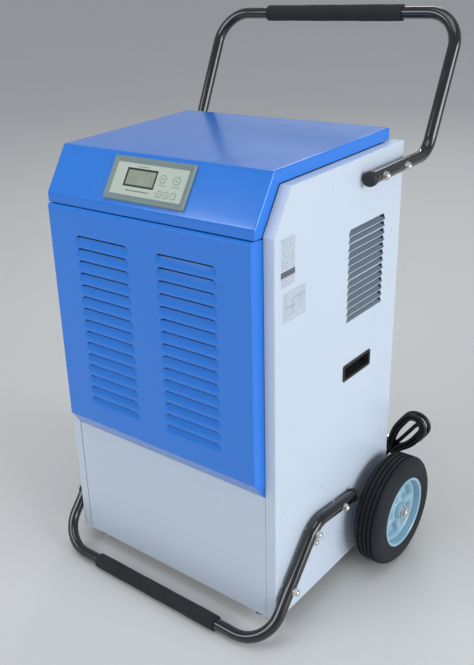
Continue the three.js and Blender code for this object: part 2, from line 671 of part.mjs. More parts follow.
function buildTubes() {
  add('handle_tube', 'black_paint', handleTube());
  add('foot_tube', 'black_paint', footTube());
  add('handle_foam', 'foam', foamSleeve(HANDLE.foam)).position.set(0, HANDLE.topY, HANDLE.topZ);
  add('foot_foam', 'foam', foamSleeve(FOOT.foam)).position.set(0, FOOT.barY, TUBE.foam);
  const strap = rectangle(121.5, HANDLE.z, 103, 24);
  const gusset = [[10, 166], [10, 196], [-104, 196], [-186, 104], [-168, 84], [-60, 118]];
  const lean = Math.atan2(FOOT.kneeZ - FOOT.startZ, FOOT.startY - FOOT.kneeY);
  for (const [name, side] of SIDES) {
    add(`${name}_handle_cap`, 'black_plastic', tubeCap()).position.set(side * TUBE.x, HANDLE.start, HANDLE.z);
    const footCap = add(`${name}_foot_cap`, 'black_plastic', tubeCap());
    const back = GAP / 2;
    footCap.position.set(side * TUBE.x, FOOT.startY + back, FOOT.startZ - back * Math.sin(lean));
    footCap.rotation.set(-lean, 0, Math.PI);
    add(`${name}_handle_studs`, 'zinc', studs(side, strap, HANDLE_BOLTS));
    const nut = [
      rod('x', 3.5, side * (HALF - SHEET - 1), side * (HALF + 2), ...PANEL_BOLT, 8),
      domedNut(side, HALF + GAP, ...PANEL_BOLT),
    ];
    add(`${name}_foot_studs`, 'zinc', join(studs(side, gusset, FOOT_BOLTS), ...nut));
  }
}

// ---------------------------------------------------------------- wheels

function tyre() {
  const { radius, inner, outer, rim } = WHEEL;
  const half = (outer - inner) / 2;
  const bore = rim + 0.8;
  return turned('x', [[bore, -half + 3], [96, -half], [104, -half + 5], [radius, -half + 12],
    [radius, half - 12], [104, half - 5], [96, half], [bore, half - 3], [bore, -half + 3]], 0, 0, 28);
}

// The wheel centre: rim barrel, dished web and a boss on the axle.
function wheelHub() {
  const { rim, axle } = WHEEL;
  const bore = axle + 0.5;
  const barrel = turned('x', [[60, -22], [rim, -22], [rim, 24], [64, 25.5], [60, 21], [60, -22]], 0, 0, 20);
  const boss = turned('x', [[bore, -26.5], [16, -26.5], [18, -22], [18, 20], [16, 23.5], [bore, 23.5], [bore, -26.5]],
    0, 0, 10);
  const web = prism('x', circle(0, 0, 61.5, 20), 4, 10, [circle(0, 0, bore, 10)]);
  return join(barrel, boss, web);
}

// The through axle with a collar, a washer and a nut outside each side panel.
function axle() {
  const reach = 316;
  const parts = [rod('x', WHEEL.axle, -reach, reach, WHEEL.y, WHEEL.radius, 12)];
  for (const side of [1, -1]) {
    parts.push(rod('x', 11, side * (HALF + GAP), side * 258, WHEEL.y, WHEEL.radius, 8));
    parts.push(rod('x', 13, side * 309, side * 311, WHEEL.y, WHEEL.radius, 12));
    parts.push(rod('x', 10, side * 310.5, side * 318, WHEEL.y, WHEEL.radius, 6));
  }
  return join(...parts);
}

function buildWheels() {
  const middle = (WHEEL.inner + WHEEL.outer) / 2;
  add('axle', 'zinc', axle());
  for (const [name, side] of SIDES) {
    for (const [kind, finish, body] of [['tyre', 'rubber', tyre()], ['hub', 'hub_paint', wheelHub()]]) {
      const mesh = add(`${name}_${kind}`, finish, body);
      mesh.position.set(side * middle, WHEEL.y, WHEEL.radius);
      if (side < 0) mesh.rotation.z = Math.PI;
    }
  }
}

// ---------------------------------------------------------------- mains lead

// The lead leaves its gland backwards, falls in one curve and enters the hank from above.
const LEAD = [[222, 340], [236, 339.5], [250, 334], [261, 322], [266, 304], [265, 283], [259, 258], [250, 232],
  [240, 206], [230, 180], [222, 158]];

function cordGland() {
  const { radius, exitY } = CORD;
  return turned('y', [[0, 176], [8, 176], [8, BACK + GAP], [13, BACK + GAP], [13, BACK + 4], [10, BACK + 5],
    [9, BACK + 12], [radius + 1.2, exitY - GAP], [0, exitY - GAP]], CORD.glandX, CORD.glandZ, 12);
}

function cordLead() {
  const points = LEAD.map(([y, z]) => new THREE.Vector3(CORD.glandX, y, z));
  return swept(new THREE.CatmullRomCurve3(points), 16, CORD.radius, 0, 8);
}

// The hank is a flat winding with round ends, tilted across the back corner of the cabinet.
function cordHank() {
  const half = CORD.run / 2;
  const stadium = (reach) => {
    const ring = new THREE.Shape();
    ring.absarc(half, 0, reach, -Math.PI / 2, Math.PI / 2, false);
    ring.absarc(-half, 0, reach, Math.PI / 2, (3 * Math.PI) / 2, false);
    return ring;
  };
  const outline = stadium(HANK.outer);
  outline.holes.push(stadium(HANK.inner));
  const depth = HANK.back - HANK.front;
  const geometry = new THREE.ExtrudeGeometry(outline, { depth, bevelEnabled: false, curveSegments: 8 });
  geometry.rotateZ(THREE.MathUtils.degToRad(CORD.tilt)).applyMatrix4(AXES.y);
  return solid(geometry.translate(HANK.x, HANK.back, HANK.z));
}

// Where the winding's last fold passes straight down, at the left of its lower end.
function hankTail() {
  const tilt = THREE.MathUtils.degToRad(CORD.tilt);
  const centre = [HANK.x - (CORD.run / 2) * Math.cos(tilt), HANK.z - (CORD.run / 2) * Math.sin(tilt)];
  return { x: centre[0] - HANK.outer + CORD.radius, y: HANK.tail, z: centre[1] };
}

const PLUG_TOP = 96;

function cordTail() {
  const { x, y, z } = hankTail();
  return rod('z', CORD.radius, PLUG_TOP + GAP, z - 21, x, y, 8);
}

// A moulded three-pin plug, hanging pins down.
function plug() {
  const { x, y } = hankTail();
  const body = turned('z', [[0, PLUG_TOP], [6, PLUG_TOP], [7, PLUG_TOP - 16], [15, PLUG_TOP - 24],
    [17, PLUG_TOP - 46], [0, PLUG_TOP - 46]], x, y, 16);
  const foot = PLUG_TOP - 45;
  const blades = [-6.5, 6.5].map((d) => box([x + d - 0.8, x + d + 0.8], [y - 3, y + 3], [foot, foot - 18]));
  return join(body, ...blades, rod('z', 2.4, foot, foot - 20, x, y + 9, 8));
}

// A bent steel hook, bolted to the back panel, that the hank hangs on.
function cordHook() {
  const [x, z] = [213, 163];
  const end = HANK.back + 6;
  const arm = bentTube([[x, BACK + 2, z], [x, end, z], [x, end, z + 26]], [7], 4, 0, 8, 4);
  return join(arm, rod('y', 14, BACK + GAP, BACK + 3, x, z, 16));
}

function buildCord() {
  add('cord_gland', 'black_plastic', cordGland());
  add('cord_lead', 'black_plastic', cordLead());
  add('cord_hank', 'black_plastic', cordHank());
  add('cord_tail', 'black_plastic', cordTail());
  add('plug', 'black_plastic', plug());
  add('cord_hook', 'zinc', cordHook());
}

buildCabinet();
buildControls();
buildRefrigeration();
buildFan();
buildTubes();
buildWheels();
buildCord();

export default machine;
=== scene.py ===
"""Portable commercial dehumidifier: the looks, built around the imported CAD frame.

Shapes are worked out in millimetres about the cabinet's centre line (x across, y back, z up), as the
frame's design is, and to_frame() carries them to the frame's metres.
"""
import json
import math

import bmesh
import bpy
from mathutils import Matrix, Vector

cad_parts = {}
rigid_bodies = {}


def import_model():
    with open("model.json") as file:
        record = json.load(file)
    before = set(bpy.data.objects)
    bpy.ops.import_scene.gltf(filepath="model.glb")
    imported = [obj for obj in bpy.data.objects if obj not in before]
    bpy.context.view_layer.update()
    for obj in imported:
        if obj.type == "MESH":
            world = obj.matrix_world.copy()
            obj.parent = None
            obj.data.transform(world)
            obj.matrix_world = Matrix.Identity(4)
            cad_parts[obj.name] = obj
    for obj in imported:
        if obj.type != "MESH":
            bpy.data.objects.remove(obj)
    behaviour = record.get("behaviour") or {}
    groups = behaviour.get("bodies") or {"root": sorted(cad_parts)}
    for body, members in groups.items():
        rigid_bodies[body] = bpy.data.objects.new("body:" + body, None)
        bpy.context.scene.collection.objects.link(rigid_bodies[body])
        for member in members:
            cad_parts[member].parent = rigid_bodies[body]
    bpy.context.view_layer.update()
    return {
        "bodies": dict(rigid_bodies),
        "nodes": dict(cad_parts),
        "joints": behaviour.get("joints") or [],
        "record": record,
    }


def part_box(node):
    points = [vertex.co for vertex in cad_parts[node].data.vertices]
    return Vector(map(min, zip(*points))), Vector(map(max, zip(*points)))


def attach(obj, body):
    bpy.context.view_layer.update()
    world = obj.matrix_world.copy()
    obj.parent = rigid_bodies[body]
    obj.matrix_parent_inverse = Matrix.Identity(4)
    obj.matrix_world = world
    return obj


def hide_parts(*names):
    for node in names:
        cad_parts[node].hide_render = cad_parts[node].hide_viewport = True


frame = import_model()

# ---------------------------------------------------------------- driving dimensions (mm)

MM = 0.001
SHEET = 1.2                     # folded steel sheet
HALF = 240.0                    # half the cabinet's width
FRONT, BACK = -190.0, 190.0     # front strips and back panel
BASE_Z, SIDE_TOP = 33.0, 800.0
SLOPE_FOOT_Z, SLOPE_HEAD_Y = 733.0, -146.0

LID = dict(half=218.5, top=822.0, back=180.0, head=-159.0, brow=-208.5, brow_top=748.0, lip=732.0)
DOOR = dict(half=219.5, face=215.0, bottom=286.0, top=730.0, face_bottom=318.0, face_top=726.0, front=-214.0)
INTAKE = dict(rows=15, pitch=22.1, top=683.0, height=17.0, gap=4.2, near=28.0, far=153.0, depth=4.6)
VENT = dict(rows=13, pitch=12.55, top=689.5, height=10.0, near=17.0, far=137.0, taper=5.0, depth=8.4,
            rise=4.6)
RIM_FOLD = 20.8                 # folded strip along a side panel's slope and top
GRIP = dict(y=58.0, z=434.0, length=92.0, height=31.0, lip=3.0, depth=20.0)

TUBE = dict(radius=10.65, x=253.0, foam=14.7, cap=12.5)
HANDLE = dict(start=60.0, z=766.0, knee_y=250.0, top_y=353.0, top_z=986.0, knee=45.0, corner=60.0, foam=144.0)
FOOT = dict(start_y=38.0, start_z=177.0, knee_y=-88.0, knee_z=190.0, bar_y=-242.0, knee=50.0, corner=66.0,
            foam=147.0)
HANDLE_BOLTS = [(85.0, 766.0), (158.0, 766.0)]
FOOT_BOLTS = [(-6.0, 181.5), (-96.0, 175.0), (-169.0, 98.0)]
PANEL_BOLT = (-70.0, 133.0)

WHEEL = dict(y=137.0, radius=108.0, inner=257.0, outer=313.0, rim=68.0, axle=7.0)
FAN = dict(y=146.0, z=560.0, hole=138.0, tip=130.0, hub=30.0)
COIL = dict(left=-200.0, right=180.0, bottom=330.0, top=760.0, thick=44.0)

CORD = dict(radius=4.0, x=176.4, z=340.0, exit_y=222.0)
HANK = dict(x=237.8, z=187.4, front=221.0, back=245.0, run=134.0, tilt=math.radians(56.0))
PLUG_TOP = 96.0

SIDES = (("right", 1), ("left", -1))
X, Y, Z = Vector((1, 0, 0)), Vector((0, 1, 0)), Vector((0, 0, 1))

panel_low, panel_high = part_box("right_side_panel")
CABINET_Y = (panel_low.y + panel_high.y) / 2        # where the cabinet's middle is in the frame


def to_frame(point):
    """Cabinet millimetres to the frame's metres."""
    return Vector((point[0] * MM, point[1] * MM + CABINET_Y, point[2] * MM))


# ---------------------------------------------------------------- camera


def make_camera():
    """The main viewpoint: from the front right, above the lid, rolled a little."""
    yaw, pitch, roll = math.radians(43.24), math.radians(-24.62), math.radians(-3.9)
    forward = Vector((-math.sin(yaw) * math.cos(pitch), math.cos(yaw) * math.cos(pitch), math.sin(pitch)))
    right = forward.cross(Z).normalized()
    up = right.cross(forward)
    across = right * math.cos(roll) + up * math.sin(roll)
    upward = up * math.cos(roll) - right * math.sin(roll)
    data = bpy.data.cameras.new("view")
    data.sensor_fit = "AUTO"
    data.sensor_width = 36.0
    data.lens = 47.17
    data.shift_x = 0.126
    data.shift_y = 0.019
    data.clip_start, data.clip_end = 0.05, 30.0
    camera = bpy.data.objects.new("view", data)
    bpy.context.scene.collection.objects.link(camera)
    camera.matrix_world = Matrix((across, upward, -forward)).transposed().to_4x4()
    camera.location = to_frame((915.99, -1174.73, 1122.82))
    bpy.context.scene.camera = camera


# ---------------------------------------------------------------- materials


class Nodes:
    """A small builder for one node material."""

    def __init__(self, name, **settings):
        self.material = bpy.data.materials.new(name)
        self.material.use_nodes = True
        self.tree = self.material.node_tree
        self.shader = self.tree.nodes["Principled BSDF"]
        for socket, value in settings.items():
            self.shader.inputs[socket.replace("_", " ")].default_value = value
        self.where = self.tree.nodes.new("ShaderNodeTexCoord").outputs["Object"]

    def add(self, kind, inputs=None, **settings):
        node = self.tree.nodes.new("ShaderNode" + kind)
        for name, value in settings.items():
            setattr(node, name, value)
        for name, value in (inputs or {}).items():
            self.set(node.inputs[name], value)
        return node

    def set(self, socket, value):
        if isinstance(value, bpy.types.NodeSocket):
            self.tree.links.new(value, socket)
        else:
            socket.default_value = value

    def math(self, operation, a, b=0.0):
        node = self.add("Math", operation=operation)
        self.set(node.inputs[0], a)
        self.set(node.inputs[1], b)
        return node.outputs[0]

    def noise(self, scale, detail=3.0, roughness=0.55, where=None):
        inputs = {"Vector": where or self.where, "Scale": scale, "Detail": detail, "Roughness": roughness}
        return self.add("TexNoise", inputs).outputs["Fac"]

    def ramp(self, value, low, high):
        """Maps 0..1 to low..high, each a number or a colour."""
        if isinstance(low, tuple):
            mix = self.add("Mix", data_type="RGBA")
            self.set(mix.inputs["Factor"], value)
            self.set(mix.inputs["A"], (*low, 1.0))
            self.set(mix.inputs["B"], (*high, 1.0))
            return mix.outputs["Result"]
        node = self.add("MapRange", {"Value": value, "To Min": low, "To Max": high})
        return node.outputs["Result"]

    def step(self, value, edge, softness):
        """0 below edge and 1 above it, with a soft change."""
        inputs = {"Value": value, "From Min": edge - softness, "From Max": edge + softness}
        return self.add("MapRange", inputs).outputs["Result"]

    def colour(self, value):
        self.set(self.shader.inputs["Base Color"], value)

    def roughness(self, value):
        self.set(self.shader.inputs["Roughness"], value)

    def bump(self, height, strength, distance=0.001):
        inputs = {"Height": height, "Strength": strength, "Distance": distance}
        node = self.add("Bump", inputs)
        self.set(self.shader.inputs["Normal"], node.outputs["Normal"])


def paint(name, base, dark, gloss, peel=0.12, coat=0.0):
    """Powder coat: orange peel, faint clouding and dust that dulls it in patches."""
    m = Nodes(name, Coat_Weight=coat, Coat_Roughness=0.12, IOR=1.5)
    cloud = m.noise(3.0, 4.0)
    m.colour(m.ramp(m.step(cloud, 0.5, 0.3), dark, base))
    dust = m.noise(24.0, 5.0, 0.65)
    m.roughness(m.ramp(m.step(dust, 0.5, 0.25), gloss, gloss + 0.1))
    m.bump(m.noise(420.0, 2.0), peel, 0.0004)
    return m.material


def black_enamel():
    """Gloss black tube paint with fine scuffs."""
    m = Nodes("black_enamel", Coat_Weight=0.6, Coat_Roughness=0.08, IOR=1.5)
    m.colour(m.ramp(m.noise(60.0, 4.0), (0.003, 0.003, 0.004), (0.009, 0.01, 0.011)))
    grain = m.noise(900.0, 2.0)
    m.roughness(m.ramp(m.step(m.noise(35.0, 6.0, 0.7), 0.6, 0.1), 0.12, 0.26))
    m.bump(grain, 0.08, 0.0002)
    return m.material


def moulded_plastic(name, base, lit, rough=0.5, grain=0.25):
    """Satin injection moulding with a fine spark-eroded grain."""
    m = Nodes(name, IOR=1.46)
    m.colour(m.ramp(m.noise(18.0, 4.0), base, lit))
    m.roughness(m.ramp(m.noise(160.0, 3.0), rough - 0.08, rough + 0.12))
    m.bump(m.noise(1600.0, 2.0), grain, 0.0003)
    return m.material


def grip_foam():
    """Closed-cell foam: small open cells over a matte charcoal skin."""
    m = Nodes("grip_foam", IOR=1.25)
    cells = m.add("TexVoronoi", {"Vector": m.where, "Scale": 900.0}).outputs["Distance"]
    patches = m.noise(26.0, 5.0, 0.6)
    m.colour(m.ramp(patches, (0.02, 0.022, 0.022), (0.042, 0.045, 0.045)))
    m.roughness(m.ramp(patches, 0.82, 0.97))
    m.bump(m.math("ADD", cells, m.noise(160.0, 4.0)), 0.6, 0.0006)
    m.shader.inputs["Sheen Weight"].default_value = 0.04
    return m.material


def tyre_rubber():
    """Grey-black rubber with a dusty bloom in patches."""
    m = Nodes("tyre_rubber", IOR=1.35)
    bloom = m.noise(9.0, 6.0, 0.65)
    m.colour(m.ramp(m.step(bloom, 0.55, 0.25), (0.011, 0.013, 0.016), (0.03, 0.033, 0.038)))
    m.roughness(m.ramp(bloom, 0.62, 0.85))
    m.bump(m.noise(700.0, 3.0), 0.3, 0.0004)
    return m.material


def bright_metal(name, base, lit, rough, scratch=0.15):
    """Plated or drawn metal with a fine uneven polish."""
    m = Nodes(name, Metallic=1.0)
    m.colour(m.ramp(m.noise(120.0, 4.0), base, lit))
    m.roughness(m.ramp(m.noise(260.0, 5.0, 0.7), rough - 0.06, rough + 0.14))
    m.bump(m.noise(1200.0, 2.0), scratch, 0.0002)
    return m.material


def galvanised():
    """Hot-dip zinc with its spangle."""
    m = Nodes("galvanised", Metallic=1.0)
    spangle = m.add("TexVoronoi", {"Vector": m.where, "Scale": 90.0}).outputs["Color"]
    value = m.add("SeparateColor", {"Color": spangle}).outputs["Red"]
    m.colour(m.ramp(value, (0.46, 0.48, 0.5), (0.64, 0.66, 0.68)))
    m.roughness(m.ramp(value, 0.34, 0.55))
    m.bump(m.noise(500.0, 3.0), 0.1, 0.0002)
    return m.material


def stripes(m, axis, pitch):
    """A sine wave of a given pitch, in metres, along one axis of the object."""
    split = m.add("SeparateXYZ", {"Vector": m.where})
    turns = m.math("MULTIPLY", split.outputs[axis], 2 * math.pi / pitch)
    return m.math("SINE", turns)


def fin_metal():
    """Lacquered aluminium fins, each one a fine ridge."""
    m = Nodes("fin_metal", Metallic=1.0)
    m.colour(m.ramp(m.noise(14.0, 4.0), (0.5, 0.54, 0.57), (0.7, 0.73, 0.75)))
    m.roughness(m.ramp(m.noise(90.0, 4.0), 0.32, 0.5))
    m.bump(m.noise(300.0, 3.0), 0.15, 0.0003)
    return m.material


def filter_mesh():
    """A fine woven screen: two crossed sets of threads."""
    m = Nodes("filter_mesh", IOR=1.46)
    weave = m.math("MULTIPLY", stripes(m, "X", 0.0016), stripes(m, "Z", 0.0016))
    lift = m.ramp(m.step(weave, 0.0, 1.0), 0.0, 1.0)
    m.colour(m.ramp(lift, (0.012, 0.013, 0.014), (0.05, 0.052, 0.055)))
    m.roughness(m.ramp(m.noise(60.0, 4.0), 0.55, 0.8))
    m.bump(lift, 0.6, 0.0005)
    return m.material


def circuit_board():
    """Solder mask with fine copper tracks showing through."""
    m = Nodes("circuit_board", IOR=1.5)
    tracks = m.math("MAXIMUM", stripes(m, "X", 0.006), stripes(m, "Y", 0.0085))
    m.colour(m.ramp(m.step(tracks, 0.9, 0.05), (0.015, 0.11, 0.035), (0.04, 0.2, 0.07)))
    m.roughness(m.ramp(m.noise(80.0, 3.0), 0.35, 0.55))
    m.bump(tracks, 0.1, 0.0002)
    return m.material


def label_film(name, low, size, rows, bars, sparse, ink_colour):
    """A white printed label: generic rows of short dashes and a few solid bars, with no lettering.

    low is its lower corner (y, z) and size its extent, in millimetres on the side panel. Each bar is
    (bottom, top, start, end) as shares of the label. sparse is the share of each row that stays blank.
    """
    m = Nodes(name, IOR=1.5)
    split = m.add("SeparateXYZ", {"Vector": m.where})
    shift = (CABINET_Y + low[0] * MM, low[1] * MM)
    along, above = (
        m.math("DIVIDE", m.math("SUBTRACT", split.outputs[axis], offset), extent * MM)
        for axis, offset, extent in zip("YZ", shift, size)
    )

    def between(value, low, high, softness=0.01):
        below_high = m.math("SUBTRACT", 1.0, m.step(value, high, softness))
        return m.math("MULTIPLY", m.step(value, low, softness), below_high)

    row = m.math("FRACT", m.math("MULTIPLY", above, float(rows)))
    in_row = between(row, 0.3, 0.62, 0.08)
    floor = m.math("FLOOR", m.math("MULTIPLY", above, float(rows)))
    place = m.add("CombineXYZ", {"X": m.math("MULTIPLY", along, size[0] * 0.55), "Y": floor}).outputs[0]
    dashes = m.step(m.noise(1.0, 1.0, where=place), sparse, 0.03)
    ink = m.math("MULTIPLY", m.math("MULTIPLY", in_row, dashes), between(along, 0.07, 0.93))
    for bottom, top, start, end in bars:
        bar = m.math("MULTIPLY", between(above, bottom, top), between(along, start, end))
        ink = m.math("MAXIMUM", ink, bar)
    m.colour(m.ramp(ink, (0.64, 0.71, 0.8), ink_colour))
    m.roughness(m.ramp(m.noise(60.0), 0.3, 0.42))
    return m.material


def overlay_film():
    """The keypad's matt film, a pale grey-green with a faint grain."""
    m = Nodes("overlay_film", IOR=1.48)
    m.colour(m.ramp(m.noise(30.0, 4.0), (0.49, 0.56, 0.48), (0.55, 0.62, 0.54)))
    m.roughness(m.ramp(m.noise(300.0), 0.34, 0.48))
    m.bump(m.noise(1500.0, 2.0), 0.15, 0.0002)
    return m.material


def display_glass():
    """A reflective display that is switched off: grey-green, a little uneven, under a clear window."""
    m = Nodes("display_glass", Coat_Weight=1.0, Coat_Roughness=0.03, IOR=1.5)
    m.colour(m.ramp(m.noise(55.0, 2.0), (0.2, 0.235, 0.17), (0.42, 0.46, 0.36)))
    m.roughness(m.ramp(m.noise(200.0), 0.22, 0.32))
    return m.material


def floor_finish():
    """Plain pale floor paint."""
    m = Nodes("floor_finish")
    m.colour(m.ramp(m.noise(1.2, 4.0), (0.7, 0.695, 0.68), (0.74, 0.735, 0.72)))
    m.roughness(m.ramp(m.noise(6.0, 4.0), 0.5, 0.65))
    return m.material


def make_materials():
    return {
        "white_paint": paint("white_paint", (0.64, 0.72, 0.82), (0.61, 0.69, 0.79), 0.26, peel=0.1),
        # The vent paint is the white paint darkened: painted shade for the bent-in side flaps.
        "vent_shade_paint": paint("vent_shade_paint", (0.25, 0.31, 0.38), (0.2, 0.25, 0.31), 0.45, peel=0.1),
        "blue_paint": paint("blue_paint", (0.012, 0.212, 0.8), (0.01, 0.197, 0.75), 0.17, peel=0.1, coat=0.5),
        "black_paint": black_enamel(),
        "black_plastic": moulded_plastic("black_plastic", (0.012, 0.012, 0.013), (0.026, 0.026, 0.028)),
        "cord_sheath": moulded_plastic("cord_sheath", (0.008, 0.008, 0.009), (0.016, 0.016, 0.017), 0.3, 0.1),
        "foam": grip_foam(),
        "tyre": tyre_rubber(),
        "rubber": moulded_plastic("rubber_part", (0.014, 0.014, 0.015), (0.03, 0.03, 0.032), 0.7, 0.3),
        "hub_paint": paint("hub_paint", (0.33, 0.52, 0.63), (0.27, 0.45, 0.56), 0.2, peel=0.1, coat=0.6),
        "zinc": bright_metal("zinc", (0.62, 0.62, 0.6), (0.78, 0.78, 0.76), 0.24),
        "galvanised": galvanised(),
        "bezel_plastic": moulded_plastic("bezel_plastic", (0.185, 0.25, 0.245), (0.235, 0.31, 0.3), 0.32,
                                         0.15),
        "overlay_film": overlay_film(),
        "overlay_ink": moulded_plastic("overlay_ink", (0.12, 0.15, 0.14), (0.17, 0.2, 0.19), 0.5, 0.1),
        "display_border": moulded_plastic("display_border", (0.01, 0.012, 0.01), (0.02, 0.022, 0.02), 0.3,
                                          0.1),
        "display_glass": display_glass(),
        "copper": bright_metal("copper", (0.62, 0.27, 0.14), (0.75, 0.38, 0.22), 0.3),
        "aluminium": fin_metal(),
        "filter": filter_mesh(),
        "circuit_board": circuit_board(),
    }


# ---------------------------------------------------------------- mesh helpers


class Shape:
    """Points and faces in cabinet millimetres, gathered before they become one piece."""

    def __init__(self, points=(), faces=(), opened=()):
        self.points = [Vector(p) for p in points]
        self.faces = [list(f) for f in faces]
        self.opened = set(opened)

    def add(self, *others):
        for other in others:
            base = len(self.points)
            offset = len(self.faces)
            self.points += other.points
            self.faces += [[base + i for i in face] for face in other.faces]
            self.opened |= {offset + i for i in other.opened}
        return self

    def moved(self, matrix):
        return Shape([matrix @ p for p in self.points], self.faces, self.opened)

    def mirrored(self):
        """The same shape on the other side of the cabinet."""
        points = [Vector((-p.x, p.y, p.z)) for p in self.points]
        return Shape(points, [face[::-1] for face in self.faces], self.opened)


def on_side(shape, side):
    return shape if side > 0 else shape.mirrored()


def grid(rows, around=False, skip=None):
    """Quads between rows of points. skip(i, j) leaves a quad out."""
    width = len(rows[0])
    faces = []
    for i in range(len(rows) - 1):
        for j in range(width if around else width - 1):
            if skip and skip(i, j):
                continue
            k = (j + 1) % width
            faces.append([i * width + j, i * width + k, (i + 1) * width + k, (i + 1) * width + j])
    return Shape([p for row in rows for p in row], faces)


def fillet(corners, radii, steps=5):
    """A polyline, in two or three dimensions, with its inner corners rounded."""
    corners = [Vector(c) for c in corners]
    if not isinstance(radii, (list, tuple)):
        radii = [radii] * (len(corners) - 2)
    points = [corners[0]]
    for i, radius in enumerate(radii, 1):
        into = (corners[i] - corners[i - 1]).normalized()
        out = (corners[i + 1] - corners[i]).normalized()
        bend = math.acos(max(-1.0, min(1.0, into.dot(out))))
        if radius <= 0 or bend < 1e-4:
            points.append(corners[i])
            continue
        aside = (out - into * math.cos(bend)).normalized()
        start = corners[i] - into * radius * math.tan(bend / 2)
        for k in range(steps + 1):
            turn = bend * k / steps
            points.append(start + into * radius * math.sin(turn) + aside * radius * (1 - math.cos(turn)))
    return points + [corners[-1]]


def place(axis, u, v, station):
    return {"x": Vector((station, u, v)), "y": Vector((u, station, v)), "z": Vector((u, v, station))}[axis]


def prism(axis, outline, start, end, opened=()):
    """An outline run along an axis. opened lists the sides, by their first point, that are left open."""
    count = len(outline)
    points = [place(axis, u, v, s) for s in (start, end) for u, v in outline]
    faces = [list(range(count)), list(range(count, 2 * count))]
    for i in range(count):
        k = (i + 1) % count
        faces.append([i, k, count + k, count + i])
    return Shape(points, faces, {i + 2 for i in opened})


def box(x, y, z):
    return prism("z", [(x[0], y[0]), (x[1], y[0]), (x[1], y[1]), (x[0], y[1])], *z)


def circle(radius, sides, u=0.0, v=0.0, phase=0.0):
    turns = [2 * math.pi * i / sides + phase for i in range(sides)]
    return [(u + radius * math.cos(t), v + radius * math.sin(t)) for t in turns]


def lathe(axis, profile, u=0.0, v=0.0, sides=48, side=1):
    """A profile of (radius, station) points turned about an axis."""
    rows = [[place(axis, a, b, side * station) for a, b in circle(radius, sides, u, v)]
            for radius, station in profile]
    return grid(rows, around=True)


def rod(axis, radius, start, end, u, v, sides=24, soft=0.4):
    """A round bar with softened rims."""
    low, high = min(start, end), max(start, end)
    profile = fillet([(0, low), (radius, low), (radius, high), (0, high)], soft, 3)
    return lathe(axis, profile, u, v, sides)


def frames_along(path):
    """A point, normal and binormal at each place on a path, turned as little as possible."""
    tangents = []
    for i in range(len(path)):
        before, after = path[max(i - 1, 0)], path[min(i + 1, len(path) - 1)]
        tangents.append((after - before).normalized())
    normal = tangents[0].orthogonal().normalized()
    found = []
    for point, tangent in zip(path, tangents):
        normal = (normal - tangent * normal.dot(tangent)).normalized()
        found.append((point, normal, tangent.cross(normal)))
    return found


def sweep(path, radius, sides=20, bore=0.0):
    """A round bar, or a pipe if it has a bore, along a path."""
    frames = frames_along(path)

    def ring(frame, r):
        point, normal, side = frame
        return [point + normal * a + side * b for a, b in circle(r, sides)]

    outside = [ring(frame, radius) for frame in frames]
    if bore:
        inside = [ring(frame, bore) for frame in reversed(frames)]
        return grid(outside + inside + [outside[0]], around=True)
    first = [[path[0]] * sides]
    last = [[path[-1]] * sides]
    return grid(first + outside + last, around=True)


def rounded_rectangle(width, height, radius, steps=5):
    a, b = width / 2, height / 2
    r = min(radius, a, b)
    points = []
    for quarter, (u, v) in enumerate(((a - r, b - r), (r - a, b - r), (r - a, r - b), (a - r, r - b))):
        for k in range(steps + 1):
            turn = math.pi / 2 * (quarter + k / steps)
            points.append((u + r * math.cos(turn), v + r * math.sin(turn)))
    return points


def rounded_plate(width, height, radius, low, high, soft=0.3, centre=(0.0, 0.0)):
    """A flat plate with round corners and softened edges, lying in x and y."""
    profile = fillet([(0.0, low), (0.0, high), (2.0, high)], soft, 3)
    rows = [[Vector((u + centre[0], v + centre[1], z)) for u, v in
             rounded_rectangle(width - 2 * inset, height - 2 * inset, radius - inset)]
            for inset, z in profile]
    return capped(rows)


def capped(rows):
    """Rings joined in a row, with a face over each end."""
    shape = grid(rows, around=True)
    width = len(rows[0])
    last = (len(rows) - 1) * width
    shape.faces.append(list(range(width - 1, -1, -1)))
    shape.faces.append(list(range(last, last + width)))
    return shape


def weld(mesh_data):
    bmesh.ops.remove_doubles(mesh_data, verts=mesh_data.verts[:], dist=2e-6)
    bmesh.ops.dissolve_degenerate(mesh_data, edges=mesh_data.edges[:], dist=1e-6)


def piece(name, shape, material, body="cabinet", slot=None, replaces=(), bevel=0.0, steps=3, thickness=0.0,
          edit=None, sharp=38.0):
    """Makes one Blender piece from a shape, in the frame's metres, and rides it on its body.

    A sheet is a shape with open sides, and gets its thickness behind its faces.
    """
    data = bmesh.new()
    points = [data.verts.new(to_frame(p)) for p in shape.points]
    for index, corners in enumerate(shape.faces):
        face = data.faces.new([points[i] for i in corners])
        face.material_index = 1 if index in shape.opened else 0
    weld(data)
    if not thickness or shape.opened:
        bmesh.ops.recalc_face_normals(data, faces=data.faces[:])
    if bevel:
        edges = [e for e in data.edges if len(e.link_faces) == 2 and e.calc_face_angle(0.0) > 0.5
                 and not any(f.material_index for f in e.link_faces)]
        bmesh.ops.bevel(data, geom=edges, offset=bevel * MM, segments=steps, profile=0.5, affect="EDGES",
                        clamp_overlap=True)
    gone = [f for f in data.faces if f.material_index]
    if gone:
        bmesh.ops.delete(data, geom=gone, context="FACES")
    if edit:
        edit(data)
    mesh = bpy.data.meshes.new(name)
    data.to_mesh(mesh)
    data.free()
    obj = bpy.data.objects.new(name, mesh)
    bpy.context.scene.collection.objects.link(obj)
    if thickness:
        thicken(obj, thickness)
    obj.data.materials.append(MATERIALS[material])
    obj.data.shade_smooth()
    obj.data.set_sharp_from_angle(angle=math.radians(sharp))
    obj.modifiers.new("normals", "WEIGHTED_NORMAL").keep_sharp = True
    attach(obj, body)
    if replaces:
        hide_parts(*replaces)
    return obj


